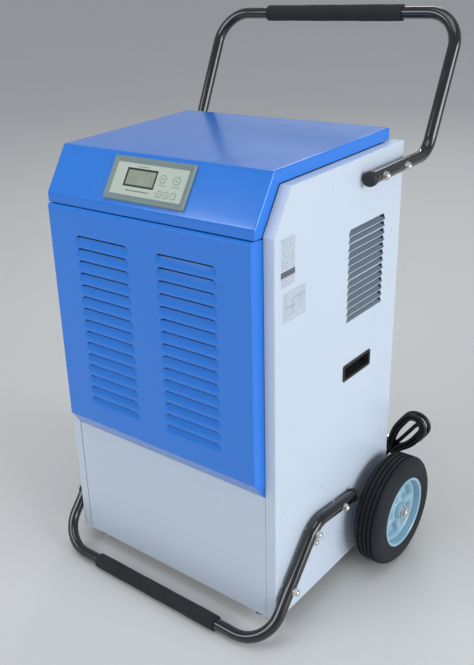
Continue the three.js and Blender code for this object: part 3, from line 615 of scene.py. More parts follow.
def thicken(obj, thickness):
    """Gives a sheet its thickness on the side away from its normals."""
    solid = obj.modifiers.new("thickness", "SOLIDIFY")
    solid.thickness = thickness * MM
    solid.offset = -1.0
    solid.use_even_offset = True
    evaluated = obj.evaluated_get(bpy.context.evaluated_depsgraph_get())
    old = obj.data
    obj.data = bpy.data.meshes.new_from_object(evaluated)
    obj.modifiers.clear()
    bpy.data.meshes.remove(old)


# ---------------------------------------------------------------- pressed sheets with louvres


def louvre_rows(spec, shares):
    """The stations of a column of louvres: (v, edge depth, share of a louvre's height, top of a louvre)."""
    rows = []
    for row in range(spec["rows"]):
        top = spec["top"] - row * spec["pitch"]
        rows += [(top - (1 - share) * spec["height"], 0.0, share, False) for share in shares]
        rows.append((top, 0.0, 1.0, True))
    return rows


def pressed_sheet(us, vs, spans, depth, draw, at):
    """A sheet with louvres, on a grid of stations.

    us are (u, edge depth, share of full depth, lean) and vs are louvre_rows. depth(share) says how far a
    louvre is pressed at a share of its height, draw(share) how far its ends draw in there (0 for a column
    with no lean), and at(u, v, depth) places a point. The grid is left open between a louvre's highest
    row and the flat sheet above it.
    """
    rows = []
    for v, edge_v, share_v, opened in vs:
        row = []
        pressed = 0.0 if opened else depth(share_v)
        for u, edge_u, share_u, lean in us:
            row.append(at(u + draw(share_v) * lean, v, max(edge_u, edge_v) + pressed * share_u))
        rows.append(row)

    def in_louvre(i, j):
        middle = (us[j][0] + us[j + 1][0]) / 2
        return vs[i + 1][3] and any(near < middle < far for near, far in spans)

    return grid(rows, skip=in_louvre)


def door_panel():
    """The intake door: a shallow pan whose sides draw in, with two columns of round-ended louvres."""
    deep = FRONT - 0.5 - DOOR["front"]
    rim = fillet([(-DOOR["half"], deep), (-DOOR["face"], 0), (DOOR["face"], 0), (DOOR["half"], deep)], 2.2, 5)
    us = [(u, edge, 0.0, 0.0) for u, edge in rim] + [(0.0, 0.0, 0.0, 0.0)]
    spans = [(-INTAKE["far"], -INTAKE["near"]), (INTAKE["near"], INTAKE["far"])]
    ends = ((0.0, 0.0), (0.6, 0.26), (2.0, 0.56), (4.6, 0.84), (9.0, 1.0), (20.0, 1.0))
    for near, far in spans:
        half = (far - near) / 2
        for distance, share in ends:
            lean = 1.0 - distance / half
            us += [(near + distance, 0.0, share, lean), (far - distance, 0.0, share, -lean)]
        us.append(((near + far) / 2, 0.0, 1.0, 0.0))
    us.sort()
    heights = fillet([(DOOR["bottom"], deep), (DOOR["face_bottom"], 0), (DOOR["face_top"], 0),
                      (DOOR["top"], 4), (DOOR["top"], deep)], [3.0, 1.6, 1.2], 5)
    below = [(v, edge, 0.0, False) for v, edge in heights if v < 500]
    above = [(v, edge, 0.0, False) for v, edge in heights if v > 500]
    flap = 1 - INTAKE["gap"] / INTAKE["height"]
    louvres = louvre_rows(INTAKE, [flap * k / 6 for k in range(7)])
    louvres.sort(key=lambda station: (station[0], station[3]))
    end_radius = 9.0

    def depth(share):
        return INTAKE["depth"] * (share / flap) ** 1.2

    def draw(share):
        return end_radius * (1 - math.sqrt(max(0.0, 1 - share * share)))

    def at(u, v, pressed):
        return Vector((u, DOOR["front"] + pressed, v))

    sheet = pressed_sheet(us, below + louvres + above, spans, depth, draw, at)
    piece("door_panel", sheet, "blue_paint", body="door", replaces=["front_door"], thickness=SHEET, sharp=50)


def side_sheet():
    """The right side panel: folded in at its front, slope and top, with bent-in louvres and a grip hole."""
    rim = fillet([(FRONT, 20.0), (FRONT, 0.0), (BACK, 0.0)], 2.2, 4)
    us = [(u, edge, 0.0, 0.0) for u, edge in rim]
    hole_u = [GRIP["y"] + sign * (GRIP["length"] / 2 - GRIP["lip"]) for sign in (-1, 1)]
    hole_v = [GRIP["z"] + sign * (GRIP["height"] / 2 - GRIP["lip"]) for sign in (-1, 1)]
    us += [(u, 0.0, 0.0, 0.0) for u in (SLOPE_HEAD_Y, -80.0, *hole_u)]
    us += [(VENT["near"], 0.0, 0.0, 1.0), (VENT["far"], 0.0, 0.0, -1.0)]
    us.sort(key=lambda station: (station[0], -station[1]))
    bend_z = 700.0
    heights = fillet([(BASE_Z, 0.0), (SIDE_TOP, 0.0), (SIDE_TOP, RIM_FOLD)], 2.2, 4)
    vs = [(v, edge, 0.0, False) for v, edge in heights]
    vs += [(v, 0.0, 0.0, False) for v in (*hole_v, bend_z)]
    for row in range(VENT["rows"]):
        top = VENT["top"] - row * VENT["pitch"]
        vs += [(top - VENT["height"], 0.0, 0.0, False), (top, 0.0, 1.0, True)]
    vs.sort(key=lambda station: station[:2])

    def draw(share):
        return VENT["taper"] * share

    def at(u, v, pressed):
        top = SIDE_TOP
        if u < SLOPE_HEAD_Y:
            top = SLOPE_FOOT_Z + (u - FRONT) * (SIDE_TOP - SLOPE_FOOT_Z) / (SLOPE_HEAD_Y - FRONT)
        if v > bend_z:
            v = bend_z + (v - bend_z) * (top - bend_z) / (SIDE_TOP - bend_z)
        return Vector((HALF - pressed, u, v))

    sheet = pressed_sheet(us, vs, [(VENT["near"], VENT["far"])], lambda share: 0.0, draw, at)

    def inside_grip(face):
        middle = sum((sheet.points[i] for i in face), Vector()) / len(face)
        return hole_u[0] < middle.y < hole_u[1] and hole_v[0] < middle.z < hole_v[1]

    sheet.faces = [face for face in sheet.faces if not inside_grip(face)]
    return sheet


def vent_flaps():
    """The side panel's flaps, bent inwards. A darker paint stands in for the shade that they lie in."""
    flaps = Shape()
    for row in range(VENT["rows"]):
        flaps.add(vent_flap(VENT["top"] - row * VENT["pitch"] - VENT["height"]))
    return flaps


def vent_flap(bottom):
    """One flap, cut free along its top and its slanted ends."""
    bend = fillet([(0.0, -1.0), (0.0, 0.0), (VENT["depth"], VENT["rise"])], 1.2, 4)[1:]
    rows = []
    for inward, rise in bend:
        taper = VENT["taper"] * max(0.0, inward) / VENT["depth"]
        lift = max(0.0, rise)
        rows.append([Vector((HALF - inward, VENT["near"] + taper, bottom + lift)),
                     Vector((HALF - inward, VENT["far"] - taper, bottom + lift))])
    return grid(rows)


# ---------------------------------------------------------------- cabinet


def rect_loop(width, height, radius, steps=5):
    """A rounded rectangle about the grip's middle, as (y, z) points."""
    return [(GRIP["y"] + u, GRIP["z"] + v) for u, v in rounded_rectangle(width, height, radius, steps)]


def hand_grip():
    """The right grip: a thin flange and a deep pocket with a round-edged mouth."""
    length, height = GRIP["length"], GRIP["height"]
    floor = HALF - GRIP["depth"] + 2
    profile = fillet([(0.0, HALF + 0.3), (0.0, HALF + 1.7), (4.6, HALF + 1.7), (6.2, floor), (16.0, floor)],
                     [0.6, 1.2, 3.0], 4)
    rows = [[Vector((x, y, z)) for y, z in rect_loop(length - 2 * inset, height - 2 * inset, 4.0 - inset / 3)]
            for inset, x in profile if 2 * inset < height]
    shape = grid(rows, around=True)
    width = len(rows[0])
    last = (len(rows) - 1) * width
    shape.faces.append(list(range(last, last + width)))
    return shape


def cut_window(data):
    """Opens the lid's slope where the control panel goes through it."""
    slope = CONTROLS.to_3x3() @ Y
    outward = CONTROLS.to_3x3() @ Z
    centre = CONTROLS.translation

    def slope_faces():
        return [f for f in data.faces if f.normal.dot(outward) > 0.999]

    for direction, reach in ((X, 76.0), (slope, 28.0)):
        for sign in (1, -1):
            faces = slope_faces()
            geometry = set(faces) | {e for f in faces for e in f.edges} | {v for f in faces for v in f.verts}
            bmesh.ops.bisect_plane(data, geom=list(geometry), dist=1e-6,
                                   plane_co=to_frame(centre + direction * reach * sign), plane_no=direction)
    middle = to_frame(centre)
    hole = [f for f in slope_faces() if (f.calc_center_median() - middle).length < 0.005]
    bmesh.ops.delete(data, geom=hole, context="FACES")


def top_lid():
    rim = SIDE_TOP + 1.5
    outline = [(LID["back"], rim), (LID["back"], LID["top"]), (LID["head"], LID["top"]),
               (LID["brow"], LID["brow_top"]), (LID["brow"], LID["lip"]), (FRONT - 1.8, LID["lip"]),
               (SLOPE_HEAD_Y - 1, rim)]
    shape = prism("x", outline, -LID["half"], LID["half"], opened=[4, 5, 6])
    piece("top_cover", shape, "blue_paint", replaces=["top_lid"], bevel=3.0, steps=5, thickness=SHEET,
          edit=cut_window, sharp=50)


def lower_panel():
    """The plain panel under the door, folded back at its top and sides."""
    x = HALF - 20.6
    shape = box((-x, x), (FRONT, FRONT + 18), (BASE_Z + 1, DOOR["bottom"] - 1))
    shape.opened = {0, 4}
    piece("lower_panel", shape, "white_paint", replaces=["lower_front_panel"], bevel=2.0, steps=4,
          thickness=SHEET, sharp=50)


def back_sheet():
    """The back panel, with the round air outlet and a fold along its top."""
    x, top = HALF - 2, SIDE_TOP - 2
    bottom = BASE_Z + 1
    square = 170.0
    ring_sides = 96
    rings = []
    for radius, y in fillet([(FAN["hole"] + 2, BACK - 9), (FAN["hole"] + 2, BACK), (square, BACK)], 1.5, 3):
        rings.append([Vector((a, y, FAN["z"] + b)) for a, b in circle(radius, ring_sides)])
    border = []
    for a, b in circle(1.0, ring_sides):
        reach = square / max(abs(a), abs(b))
        border.append(Vector((a * reach, BACK, FAN["z"] + b * reach)))
    rings[-1] = border
    shape = grid(rings, around=True)
    xs, zs = [-x, -square, square, x], [bottom, FAN["z"] - square, FAN["z"] + square, top]
    rows = [[Vector((u, BACK, v)) for u in xs] for v in zs]
    sheet = grid(rows, skip=lambda i, j: i == 1 and j == 1)
    sheet.faces = [face[::-1] for face in sheet.faces]
    shape.add(sheet)
    fold = fillet([(BACK, top - 6), (BACK, top), (BACK - 18, top)], 1.5, 3)
    shape.add(grid([[Vector((u, y, z)) for u in (x, -x)] for y, z in fold]))
    piece("back_sheet", shape, "white_paint", replaces=["back_panel"], thickness=SHEET, sharp=50)


def pan_screw(station, u, v, head=4.2):
    """A pan-head screw on the back, as a low dome."""
    profile = [(0.0, 2.2), (0.5 * head, 2.1), (0.8 * head, 1.7), (head, 0.8), (head, 0.0)]
    return lathe("y", [(r, station + h) for r, h in profile], u, v, 24)


def back_screws():
    shape = Shape()
    for x in (-226, -75, 75, 226):
        for z in (BASE_Z + 12, SIDE_TOP - 14):
            shape.add(pan_screw(BACK, x, z))
    for x in (-226, 226):
        for z in (290, 545):
            shape.add(pan_screw(BACK, x, z))
    for u, v in circle(141, 4, 0.0, FAN["z"], math.radians(45)):
        shape.add(pan_screw(BACK + 2.3, u, v))
    piece("back_screws", shape, "zinc")


def base_tray():
    """The base pan with its axle lugs and two screw-in glides."""
    x, y, wall = HALF - 2.5, BACK - 3, 25
    tray = box((-x, x), (-y, y), (BASE_Z, BASE_Z + wall))
    tray.opened = {1}
    piece("base_tray", tray, "galvanised", replaces=["base_pan"], bevel=1.6, thickness=SHEET, sharp=50)
    lugs = Shape()
    for side in (1, -1):
        lugs.add(prism("x", [(WHEEL["y"] - 26, BASE_Z + 1.4), (WHEEL["y"] + 26, BASE_Z + 1.4),
                             (WHEEL["y"] + 14, 125), (WHEEL["y"] - 14, 125)], side * 222, side * 228))
    piece("axle_lugs", lugs, "galvanised", bevel=0.8)
    glides = Shape()
    for side in (1, -1):
        foot = fillet([(0, 12), (7, 12), (9.5, 15), (9.5, 19.5), (5.5, 20.5), (4, 21), (4, BASE_Z),
                       (0, BASE_Z)], 0.6, 3)
        glides.add(lathe("z", foot, side * 195, -172, 32))
        glides.add(prism("z", circle(6.8, 6, side * 195, -172), 27.5, BASE_Z))
    piece("front_glides", glides, "zinc", slot="galvanised")


def filter_and_frame():
    """The washable filter behind the louvres: a moulded frame with ribs, and a fine screen."""
    frame_shape = Shape()
    middle, half_x, half_z = 524.0, 200.0, 190.0
    for z in (middle - half_z, middle + half_z - 10):
        frame_shape.add(box((-half_x, half_x), (-202, -194), (z, z + 10)))
    for x in (-half_x, -65, 57, half_x - 10):
        width = 10 if abs(x) > 150 else 8
        frame_shape.add(box((x, x + width), (-201.5, -194.5), (middle - 180, middle + 180)))
    for z in (middle - 64, middle + 56):
        frame_shape.add(box((-190, 190), (-200.5, -195.5), (z, z + 8)))
    piece("filter_frame", frame_shape, "black_plastic", body="door", replaces=["air_filter"], bevel=0.8)
    screen = box((-191, 191), (-198.6, -197.8), (middle - 181, middle + 181))
    piece("filter_screen", screen, "filter", body="door", slot="black_plastic")


def fan_guard():
    """The outlet guard: a pressed rim, wire rings and four wires across."""
    y = BACK + 1.4
    rim = lathe("y", fillet([(134, BACK + 0.3), (148, BACK + 0.3), (148, BACK + 2.3), (134, BACK + 2.3),
                             (134, BACK + 0.3)], 0.7, 3), 0, FAN["z"], 96)
    shape = Shape().add(rim)
    for radius in (44, 64, 82, 100, 118):
        ring = [Vector((a, y, FAN["z"] + b)) for a, b in circle(radius, 72)]
        shape.add(sweep(ring + [ring[0]], 1.1, 8))
    for turn in range(4):
        angle = math.radians(45 * turn)
        along = Vector((math.cos(angle), 0, math.sin(angle)))
        centre = Vector((0, y + 0.1, FAN["z"]))
        shape.add(sweep([centre - along * 136, centre + along * 136], 1.2, 8))
    disc = fillet([(0, BACK + 0.3), (28, BACK + 0.3), (28, BACK + 2.8), (20, BACK + 3.2), (0, BACK + 3.2)],
                  0.8, 3)
    shape.add(lathe("y", disc, 0, FAN["z"], 48))
    piece("fan_guard", shape, "black_paint", replaces=["fan_grille"])


def label_plate(name, y, z, rows, bars, sparse, ink_colour):
    """A thin printed label on the right side panel."""
    width, height = y[1] - y[0], z[1] - z[0]
    MATERIALS[name] = label_film(name, (y[0], z[0]), (width, height), rows, bars, sparse, ink_colour)
    turn = Matrix(((0, 0, 1), (1, 0, 0), (0, 1, 0))).to_4x4()
    centre = Matrix.Translation((HALF, (y[0] + y[1]) / 2, (z[0] + z[1]) / 2))
    plate = rounded_plate(width, height, 2.0, 0.05, 0.22, 0.08).moved(centre @ turn)
    piece(name, plate, name, slot="white_paint")


def labels():
    label_plate("rating_label", (-178.0, -135.0), (652.0, 728.0), 20, [(0.2, 0.33, 0.06, 0.94)], 0.46,
                (0.11, 0.12, 0.15))
    label_plate("wiring_label", (-177.0, -102.0), (594.0, 643.0), 17,
                [(0.2, 0.22, 0.1, 0.4), (0.45, 0.47, 0.2, 0.55), (0.7, 0.72, 0.5, 0.9),
                 (0.2, 0.72, 0.44, 0.455), (0.3, 0.9, 0.2, 0.212), (0.45, 0.8, 0.72, 0.732)],
                0.44, (0.2, 0.24, 0.28))


def build_cabinet():
    sheet = side_sheet()
    for name, side in SIDES:
        piece(f"{name}_panel_sheet", on_side(sheet, side), "white_paint", replaces=[f"{name}_side_panel"],
              thickness=SHEET, sharp=50)
        # The flaps wear the darker vent paint, a painted shade in place of real shade.
        piece(f"{name}_vent_flaps", on_side(vent_flaps(), side), "vent_shade_paint", slot="white_paint",
              thickness=SHEET, sharp=50)
        piece(f"{name}_grip_pocket", on_side(hand_grip(), side), "black_plastic",
              replaces=[f"{name}_hand_grip"], thickness=1.2)
    door_panel()
    filter_and_frame()
    top_lid()
    lower_panel()
    back_sheet()
    back_screws()
    base_tray()
    fan_guard()
    labels()


# ---------------------------------------------------------------- control panel

SLOPE_ANGLE = math.atan2(LID["top"] - LID["brow_top"], LID["head"] - LID["brow"])
CONTROLS = (Matrix.Translation((0, (LID["head"] + LID["brow"]) / 2, (LID["top"] + LID["brow_top"]) / 2))
            @ Matrix.Rotation(SLOPE_ANGLE, 4, "X"))
BEZEL = dict(width=170.0, height=74.0, frame=10.3)
OVERLAY = dict(width=149.4, height=53.4, top=3.0)
WINDOW = dict(x=-18.5, y=3.5, width=64.0, height=30.0)
BUTTONS = [("power", 56.0, 7.5, 7.0), ("mode", 28.0, 7.5, 7.0), ("down", 28.5, -17.0, 6.0),
           ("up", 43.0, -17.0, 6.0), ("timer", 57.5, -17.0, 6.0)]


def nested_rectangles(width, height, radius, profile, centre=(0.0, 0.0)):
    """Rounded rectangles, one inside another: profile is (inset, z)."""
    return [[Vector((u + centre[0], v + centre[1], z)) for u, v in
             rounded_rectangle(width - 2 * inset, height - 2 * inset, max(radius - inset, 0.4))]
            for inset, z in profile]


def on_slope(shape):
    return shape.moved(CONTROLS)


def bezel():
    """A picture frame that slopes down to the keypad."""
    profile = fillet([(0.0, 0.2), (0.0, 3.0), (1.6, 5.4), (3.4, 5.6), (9.4, 3.4), (BEZEL["frame"], 3.3),
                      (BEZEL["frame"], 0.2), (0.0, 0.2)], [0.6, 0.8, 0.8, 0.4, 0.2, 0.0], 3)
    rows = nested_rectangles(BEZEL["width"], BEZEL["height"], 3.0, profile)
    piece("bezel_frame", on_slope(grid(rows, around=True)), "bezel_plastic", replaces=["control_bezel"])


def keypad():
    """The printed film, with its display window left open."""
    outer = rounded_rectangle(OVERLAY["width"], OVERLAY["height"], 1.0, 4)
    opening = rounded_rectangle(WINDOW["width"] + 1, WINDOW["height"] + 1, 0.8, 4)
    inner = [(u + WINDOW["x"], v + WINDOW["y"]) for u, v in opening]
    low, high = OVERLAY["top"] - 0.7, OVERLAY["top"]
    rows = [[Vector((*p, z)) for p in loop]
            for loop, z in ((inner, low), (inner, high), (outer, high), (outer, low), (inner, low))]
    piece("keypad_film", on_slope(grid(rows, around=True)), "overlay_film", replaces=["control_overlay"])


def display():
    centre = (WINDOW["x"], WINDOW["y"])
    profile = fillet([(0.0, 1.4), (0.0, 3.25), (2.6, 3.25), (2.6, 2.2)], [0.3, 0.2], 2)
    rows = nested_rectangles(WINDOW["width"], WINDOW["height"], 1.0, profile, centre)
    rows.append(rows[0])
    piece("display_border", on_slope(grid(rows, around=True)), "display_border", slot="display_glass")
    face = [(0.0, 1.6), (0.0, 2.45), (0.15, 2.6), (1.2, 2.6)]
    glass = capped(nested_rectangles(WINDOW["width"] - 5.2, WINDOW["height"] - 5.2, 0.6, face, centre))
    piece("display_window", on_slope(glass), "display_glass", replaces=["display"])


def icon(name):
    """A small generic symbol on a key: marks, not letters."""
    if name == "up":
        return [[(-1.7, -1.1), (1.7, -1.1), (0.0, 1.7)]]
    if name == "down":
        return [[(-1.7, 1.1), (1.7, 1.1), (0.0, -1.7)]]
    if name == "timer":
        return [[(-0.25, -0.2), (0.25, -0.2), (0.25, 1.9), (-0.25, 1.9)],
                [(0, -0.25), (1.5, -0.25), (1.5, 0.25), (0, 0.25)]]
    if name == "power":
        return [[(-0.3, -0.2), (0.3, -0.2), (0.3, 2.4), (-0.3, 2.4)], circle(1.1, 16, 0.0, -0.9)]
    return [[(x - 0.35, -1.8), (x + 0.35, -1.8), (x + 0.35, 1.8), (x - 0.35, 1.8)] for x in (-1.5, 0.0, 1.5)]


def buttons():
    """Round membrane keys with a printed outline and a small mark."""
    for name, x, y, radius in BUTTONS:
        top = OVERLAY["top"]
        dome = fillet([(0.0, 1.0), (radius, 1.0), (radius, top + 0.76), (0.0, top + 0.82)], [0.1, 0.4], 4)
        cap = lathe("z", dome, x, y, 40)
        body = f"{name}_button"
        piece(f"{name}_key", on_slope(cap), "overlay_film", body=body, replaces=[body])
        low, high, outline = top + 0.73, top + 0.86, radius - 0.5
        marks = lathe("z", [(outline - 0.75, low), (outline - 0.75, high), (outline, high), (outline, low),
                            (outline - 0.75, low)], x, y, 40)
        for shape in icon(name):
            marks.add(prism("z", [(x + u, y + v) for u, v in shape], low, high + 0.02))
        piece(f"{name}_key_mark", on_slope(marks), "overlay_ink", body=body, slot="overlay_film")


def printed_dashes():
    """Rows of short generic dashes above and below the display and under the keys."""
    top = OVERLAY["top"]
    marks = Shape()
    for start, y, count, height in ((-42.0, -19.6, 20, 2.2), (-30.0, 21.4, 10, 1.2), (49.0, -3.4, 7, 1.0),
                                    (21.0, -3.4, 7, 1.0)):
        x = start
        for k in range(count):
            width = 1.1 + 0.8 * ((k * 7) % 3)
            marks.add(box((x, x + width), (y, y + height), (top - 0.1, top + 0.05)))
            x += width + 0.6
    piece("keypad_marks", on_slope(marks), "overlay_ink", slot="overlay_film")


def build_controls():
    bezel()
    keypad()
    display()
    buttons()
    printed_dashes()


# ---------------------------------------------------------------- refrigeration and fan


def coil_pack(name, node, y):
    """A finned coil: separate fins between two end plates, with return bends at the right."""
    left, right, low, high = COIL["left"], COIL["right"], COIL["bottom"], COIL["top"]
    half = COIL["thick"] / 2
    fins = Shape()
    pitch = 2.6
    count = int((right - left - 8) / pitch)
    for k in range(count):
        x = left + 5 + k * pitch
        fins.add(box((x, x + 0.35), (y - half + 2, y + half - 2), (low + 4, high - 4)))
    piece(f"{name}_fins", fins, "aluminium", replaces=[node])
    plates = Shape()
    for x in (left, right - 1.5):
        plates.add(box((x, x + 1.5), (y - half, y + half), (low, high)))
        plates.add(box((x, x + 9 if x < 0 else x - 7), (y - half, y - half + 1.5), (low, high)))
    piece(f"{name}_plates", plates, "galvanised", slot="aluminium")
    tubes = Shape()
    for row, depth in enumerate((y - 10, y + 10)):
        for k in range(8):
            z = low + 30 + k * 50 + 12 * row
            tubes.add(sweep([Vector((left - 3, depth, z)), Vector((right + 2, depth, z))], 4.6, 16))
            if k < 7 and (k + row) % 2 == 0:
                bend = [(right, depth, z), (right + 12, depth, z), (right + 12, depth, z + 50),
                        (right, depth, z + 50)]
                tubes.add(sweep(fillet(bend, 11.5, 6), 4.6, 16))
    piece(f"{name}_tubes", tubes, "copper", slot="aluminium")


PIPES = {
    "suction_pipe": (6.0, [(120.3, 30, 240), (222, 30, 240), (222, 30, 345), (222, -40, 345),
                           (194.3, -40, 345)]),
    "discharge_pipe": (4.5, [(120.3, -20, 200), (206, -20, 200), (206, -20, 316), (206, 42, 316),
                             (206, 42, 345), (194.3, 42, 345)]),
    "liquid_line": (4.0, [(194.3, 42, 380), (212, 42, 380), (212, -40, 380), (194.3, -40, 380)]),
}


def pipework():
    for node, (radius, corners) in PIPES.items():
        shape = sweep(fillet(corners, 12.0, 6), radius, 20)
        if node == "liquid_line":
            drier = fillet([(0, -24), (4, -24), (10, -16), (10, 16), (4, 24), (0, 24)], 2.0, 3)
            shape.add(lathe("y", drier, 212, 380, 32))
        piece(f"{node}_run", shape, "copper", replaces=[node])


def fan_blade(turn):
    """One pitched and cambered blade of the impeller."""
    rows = []
    reach = 10
    for i in range(reach + 1):
        radius = FAN["hub"] - 3 + (FAN["tip"] - FAN["hub"] + 3) * i / reach
        pitch = 0.62 - 0.26 * i / reach
        half_width = 0.30 + 0.13 * i / reach
        row = []
        for j in range(9):
            share = j / 4 - 1
            angle = turn + half_width * share + 0.12 * i / reach
            chord = radius * half_width * share
            height = chord * math.sin(pitch) + 3.0 * (1 - share * share)
            across, up = radius * math.cos(angle), radius * math.sin(angle)
            row.append(Vector((across, FAN["y"] + height * 0.62, FAN["z"] + up)))
        rows.append(row)
    return grid(rows)


def fan():
    blades = Shape()
    for k in range(5):
        blades.add(fan_blade(2 * math.pi * k / 5))
    piece("fan_blades", blades, "black_plastic", body="fan", replaces=["fan_impeller"], thickness=1.8,
          sharp=60)
    y = FAN["y"]
    hub = fillet([(6.4, y - 20), (FAN["hub"], y - 20), (FAN["hub"], y + 14), (FAN["hub"] - 6, y + 18.5),
                  (6.4, y + 18.5), (6.4, y - 20)], [1.0, 3.0, 3.0, 0.6], 4)
    piece("fan_hub", lathe("y", hub, 0, FAN["z"], 64), "black_plastic", body="fan")
    motor = fillet([(0, 74), (34, 74), (42, 80), (42, 113), (37, 119.6), (6, 119.6), (6, 166), (0, 166)],
                   [3.0, 3.0, 3.0, 3.0, 0.5, 0.8], 4)
    piece("motor_shell", lathe("y", motor, 0, FAN["z"], 64), "black_paint", replaces=["fan_motor"])


def compressor():
    """The welded shell with its seam, and the foot plate and stubs under it."""
    x, y = 20, 0
    can = fillet([(0, 62), (58, 62), (71, 72), (74.5, 90), (74.5, 168), (76.5, 169), (76.5, 175), (74.5, 176),
                  (74.5, 235), (69, 260), (48, 276), (0, 282)], 4.0, 4)
    shape = lathe("z", can, x, y, 64)
    plate = []
    for degrees in (90, 210, 330):
        for spread in (-0.13, 0.13):
            angle = math.radians(degrees) + spread
            plate.append((x + 108 * math.cos(angle), y + 108 * math.sin(angle)))
    shape.add(prism("z", plate, 58, 62.5))
    shape.add(rod("x", 6, x + 60, 120, 30, 240), rod("x", 4.5, x + 60, 120, -20, 200))
    piece("compressor_shell", shape, "black_paint", replaces=["compressor"])


def drain_pipe():
    path = fillet([(-180, -40, 293.7), (-180, -40, 75), (-180, BACK + 24, 75)], 30, 10)
    shape = sweep(path, 7.6, 24, bore=5.4)
    for k in range(3):
        ring = BACK + 12 + 4 * k
        barb = [(7.0, ring - 1.4), (8.0, ring), (7.0, ring + 1.4), (7.0, ring - 1.4)]
        shape.add(lathe("y", barb, -180, 75, 32))
    piece("drain_tube", shape, "rubber", replaces=["drain_hose"])


def build_inside():
    coil_pack("cold_coil", "evaporator", -40)
    coil_pack("hot_coil", "condenser", 42)
    pipework()
    compressor()
    fan()
    drain_pipe()


# ---------------------------------------------------------------- handle and foot


def tube_path(ends, knees, bar, radii):
    """From the right arm's end over its knee and the cross bar to the left arm's end."""
    x = TUBE["x"]
    right = [(x, *ends), (x, *knees), (x, *bar)]
    left = [(-x, *corner[1:]) for corner in reversed(right)]
    return fillet(right + left, radii, 14)


def round_nut(side, y, z, base, washer=7.6):
    """A washer, a chamfered hexagon and a domed top."""
    shape = lathe("x", fillet([(0, base), (washer, base), (washer, base + 1.2), (0, base + 1.2)], 0.3, 2),
                  y, z, 32, side)
    rows = []
    for scale, height in ((0.93, 1.2), (1.0, 1.7), (1.0, 5.2), (0.9, 5.9)):
        hexagon = circle(6.9 * scale, 6, y, z, 0.3)
        rows.append([place("x", u, v, side * (base + height)) for u, v in hexagon])
    shape.add(capped(rows))
    dome = [(5.2 * math.cos(t * math.pi / 12), 5.6 + 3.6 * math.sin(t * math.pi / 12)) for t in range(7)]
    shape.add(lathe("x", [(r, base + h) for r, h in dome], y, z, 32, side))
    return shape


def stud_set(side, bolts):
    """Nuts and washers outside a tube, and the spacers that hold it off the panel."""
    shape = Shape()
    outer = TUBE["x"] + TUBE["radius"]
    for y, z in bolts:
        shape.add(round_nut(side, y, z, outer - 0.2))
        shape.add(rod("x", 3.6, side * (HALF - 6), side * (outer + 1), y, z, 16))
        shape.add(rod("x", 7.0, side * (HALF + 0.1), side * (TUBE["x"] - TUBE["radius"] + 0.3), y, z, 32))
    return shape


def tube_end_cap():
    """A moulded cap with a collar and a softly domed end, pointing along -Y."""
    r = TUBE["cap"]
    profile = fillet([(0, 12), (9.0, 12), (9.0, 0.3), (r, 0.3), (r, -6.5), (r - 1.6, -10.5), (0, -12)],
                     [0.4, 0.4, 0.9, 2.2, 2.4], 4)
    return lathe("y", profile, 0, 0, 48)


def foam_sleeve(name, node, half, y, z):
    """A foam tube with square-cut, slightly soft ends and the gentle unevenness of a pushed-on sleeve."""
    bore = TUBE["radius"] + 0.2
    ends = fillet([(bore, -half), (TUBE["foam"], -half), (TUBE["foam"], half), (bore, half), (bore, -half)],
                  [1.8, 1.8, 0.6], 4)
    profile = []
    for i, (radius, station) in enumerate(ends):
        profile.append((radius, station))
        if i + 1 < len(ends) and abs(ends[i + 1][1] - station) > half:
            following = ends[i + 1]
            for k in range(1, 40):
                profile.append((radius + (following[0] - radius) * k / 40,
                                station + (following[1] - station) * k / 40))
    shape = lathe("x", profile, y, z, 64)
    for point in shape.points:
        away = Vector((0, point.y - y, point.z - z))
        if away.length > bore + 2:
            around = math.atan2(away.z, away.y)
            swell = 0.16 * math.sin(point.x / 17 + 2 * around) + 0.12 * math.sin(point.x / 7.3 - 3 * around)
            point += away.normalized() * (swell - 0.3)
    sleeve = piece(name, shape, "foam", replaces=[node])


def build_tubes():
    h, f = HANDLE, FOOT
    handle = tube_path((h["start"] + 0.3, h["z"]), (h["knee_y"], h["z"]), (h["top_y"], h["top_z"]),
                       [h["knee"], h["corner"], h["corner"], h["knee"]])
    piece("handle_pipe", sweep(handle, TUBE["radius"], 32), "black_paint", replaces=["handle_tube"])
    foot = tube_path((f["start_y"], f["start_z"]), (f["knee_y"], f["knee_z"]), (f["bar_y"], TUBE["foam"]),
                     [f["knee"], f["corner"], f["corner"], f["knee"]])
    piece("foot_pipe", sweep(foot, TUBE["radius"], 32), "black_paint", replaces=["foot_tube"])
    foam_sleeve("handle_sleeve", "handle_foam", h["foam"], h["top_y"], h["top_z"])
    foam_sleeve("foot_sleeve", "foot_foam", f["foam"], f["bar_y"], TUBE["foam"])
    lean = math.atan2(f["knee_z"] - f["start_z"], f["start_y"] - f["knee_y"])
    for name, side in SIDES:
        x = side * TUBE["x"]
        upper = tube_end_cap().moved(Matrix.Translation((x, h["start"], h["z"])))
        piece(f"{name}_handle_end", upper, "black_plastic", replaces=[f"{name}_handle_cap"])
        turned = Matrix.Rotation(-lean, 4, "X") @ Matrix.Rotation(math.pi, 4, "Z")
        lower = tube_end_cap().moved(Matrix.Translation((x, f["start_y"], f["start_z"])) @ turned)
        piece(f"{name}_foot_end", lower, "black_plastic", replaces=[f"{name}_foot_cap"])
        piece(f"{name}_handle_nuts", stud_set(side, HANDLE_BOLTS), "zinc", replaces=[f"{name}_handle_studs"])
        nuts = stud_set(side, FOOT_BOLTS).add(round_nut(side, *PANEL_BOLT, HALF + 0.1))
        piece(f"{name}_foot_nuts", nuts, "zinc", replaces=[f"{name}_foot_studs"])


# ---------------------------------------------------------------- wheels


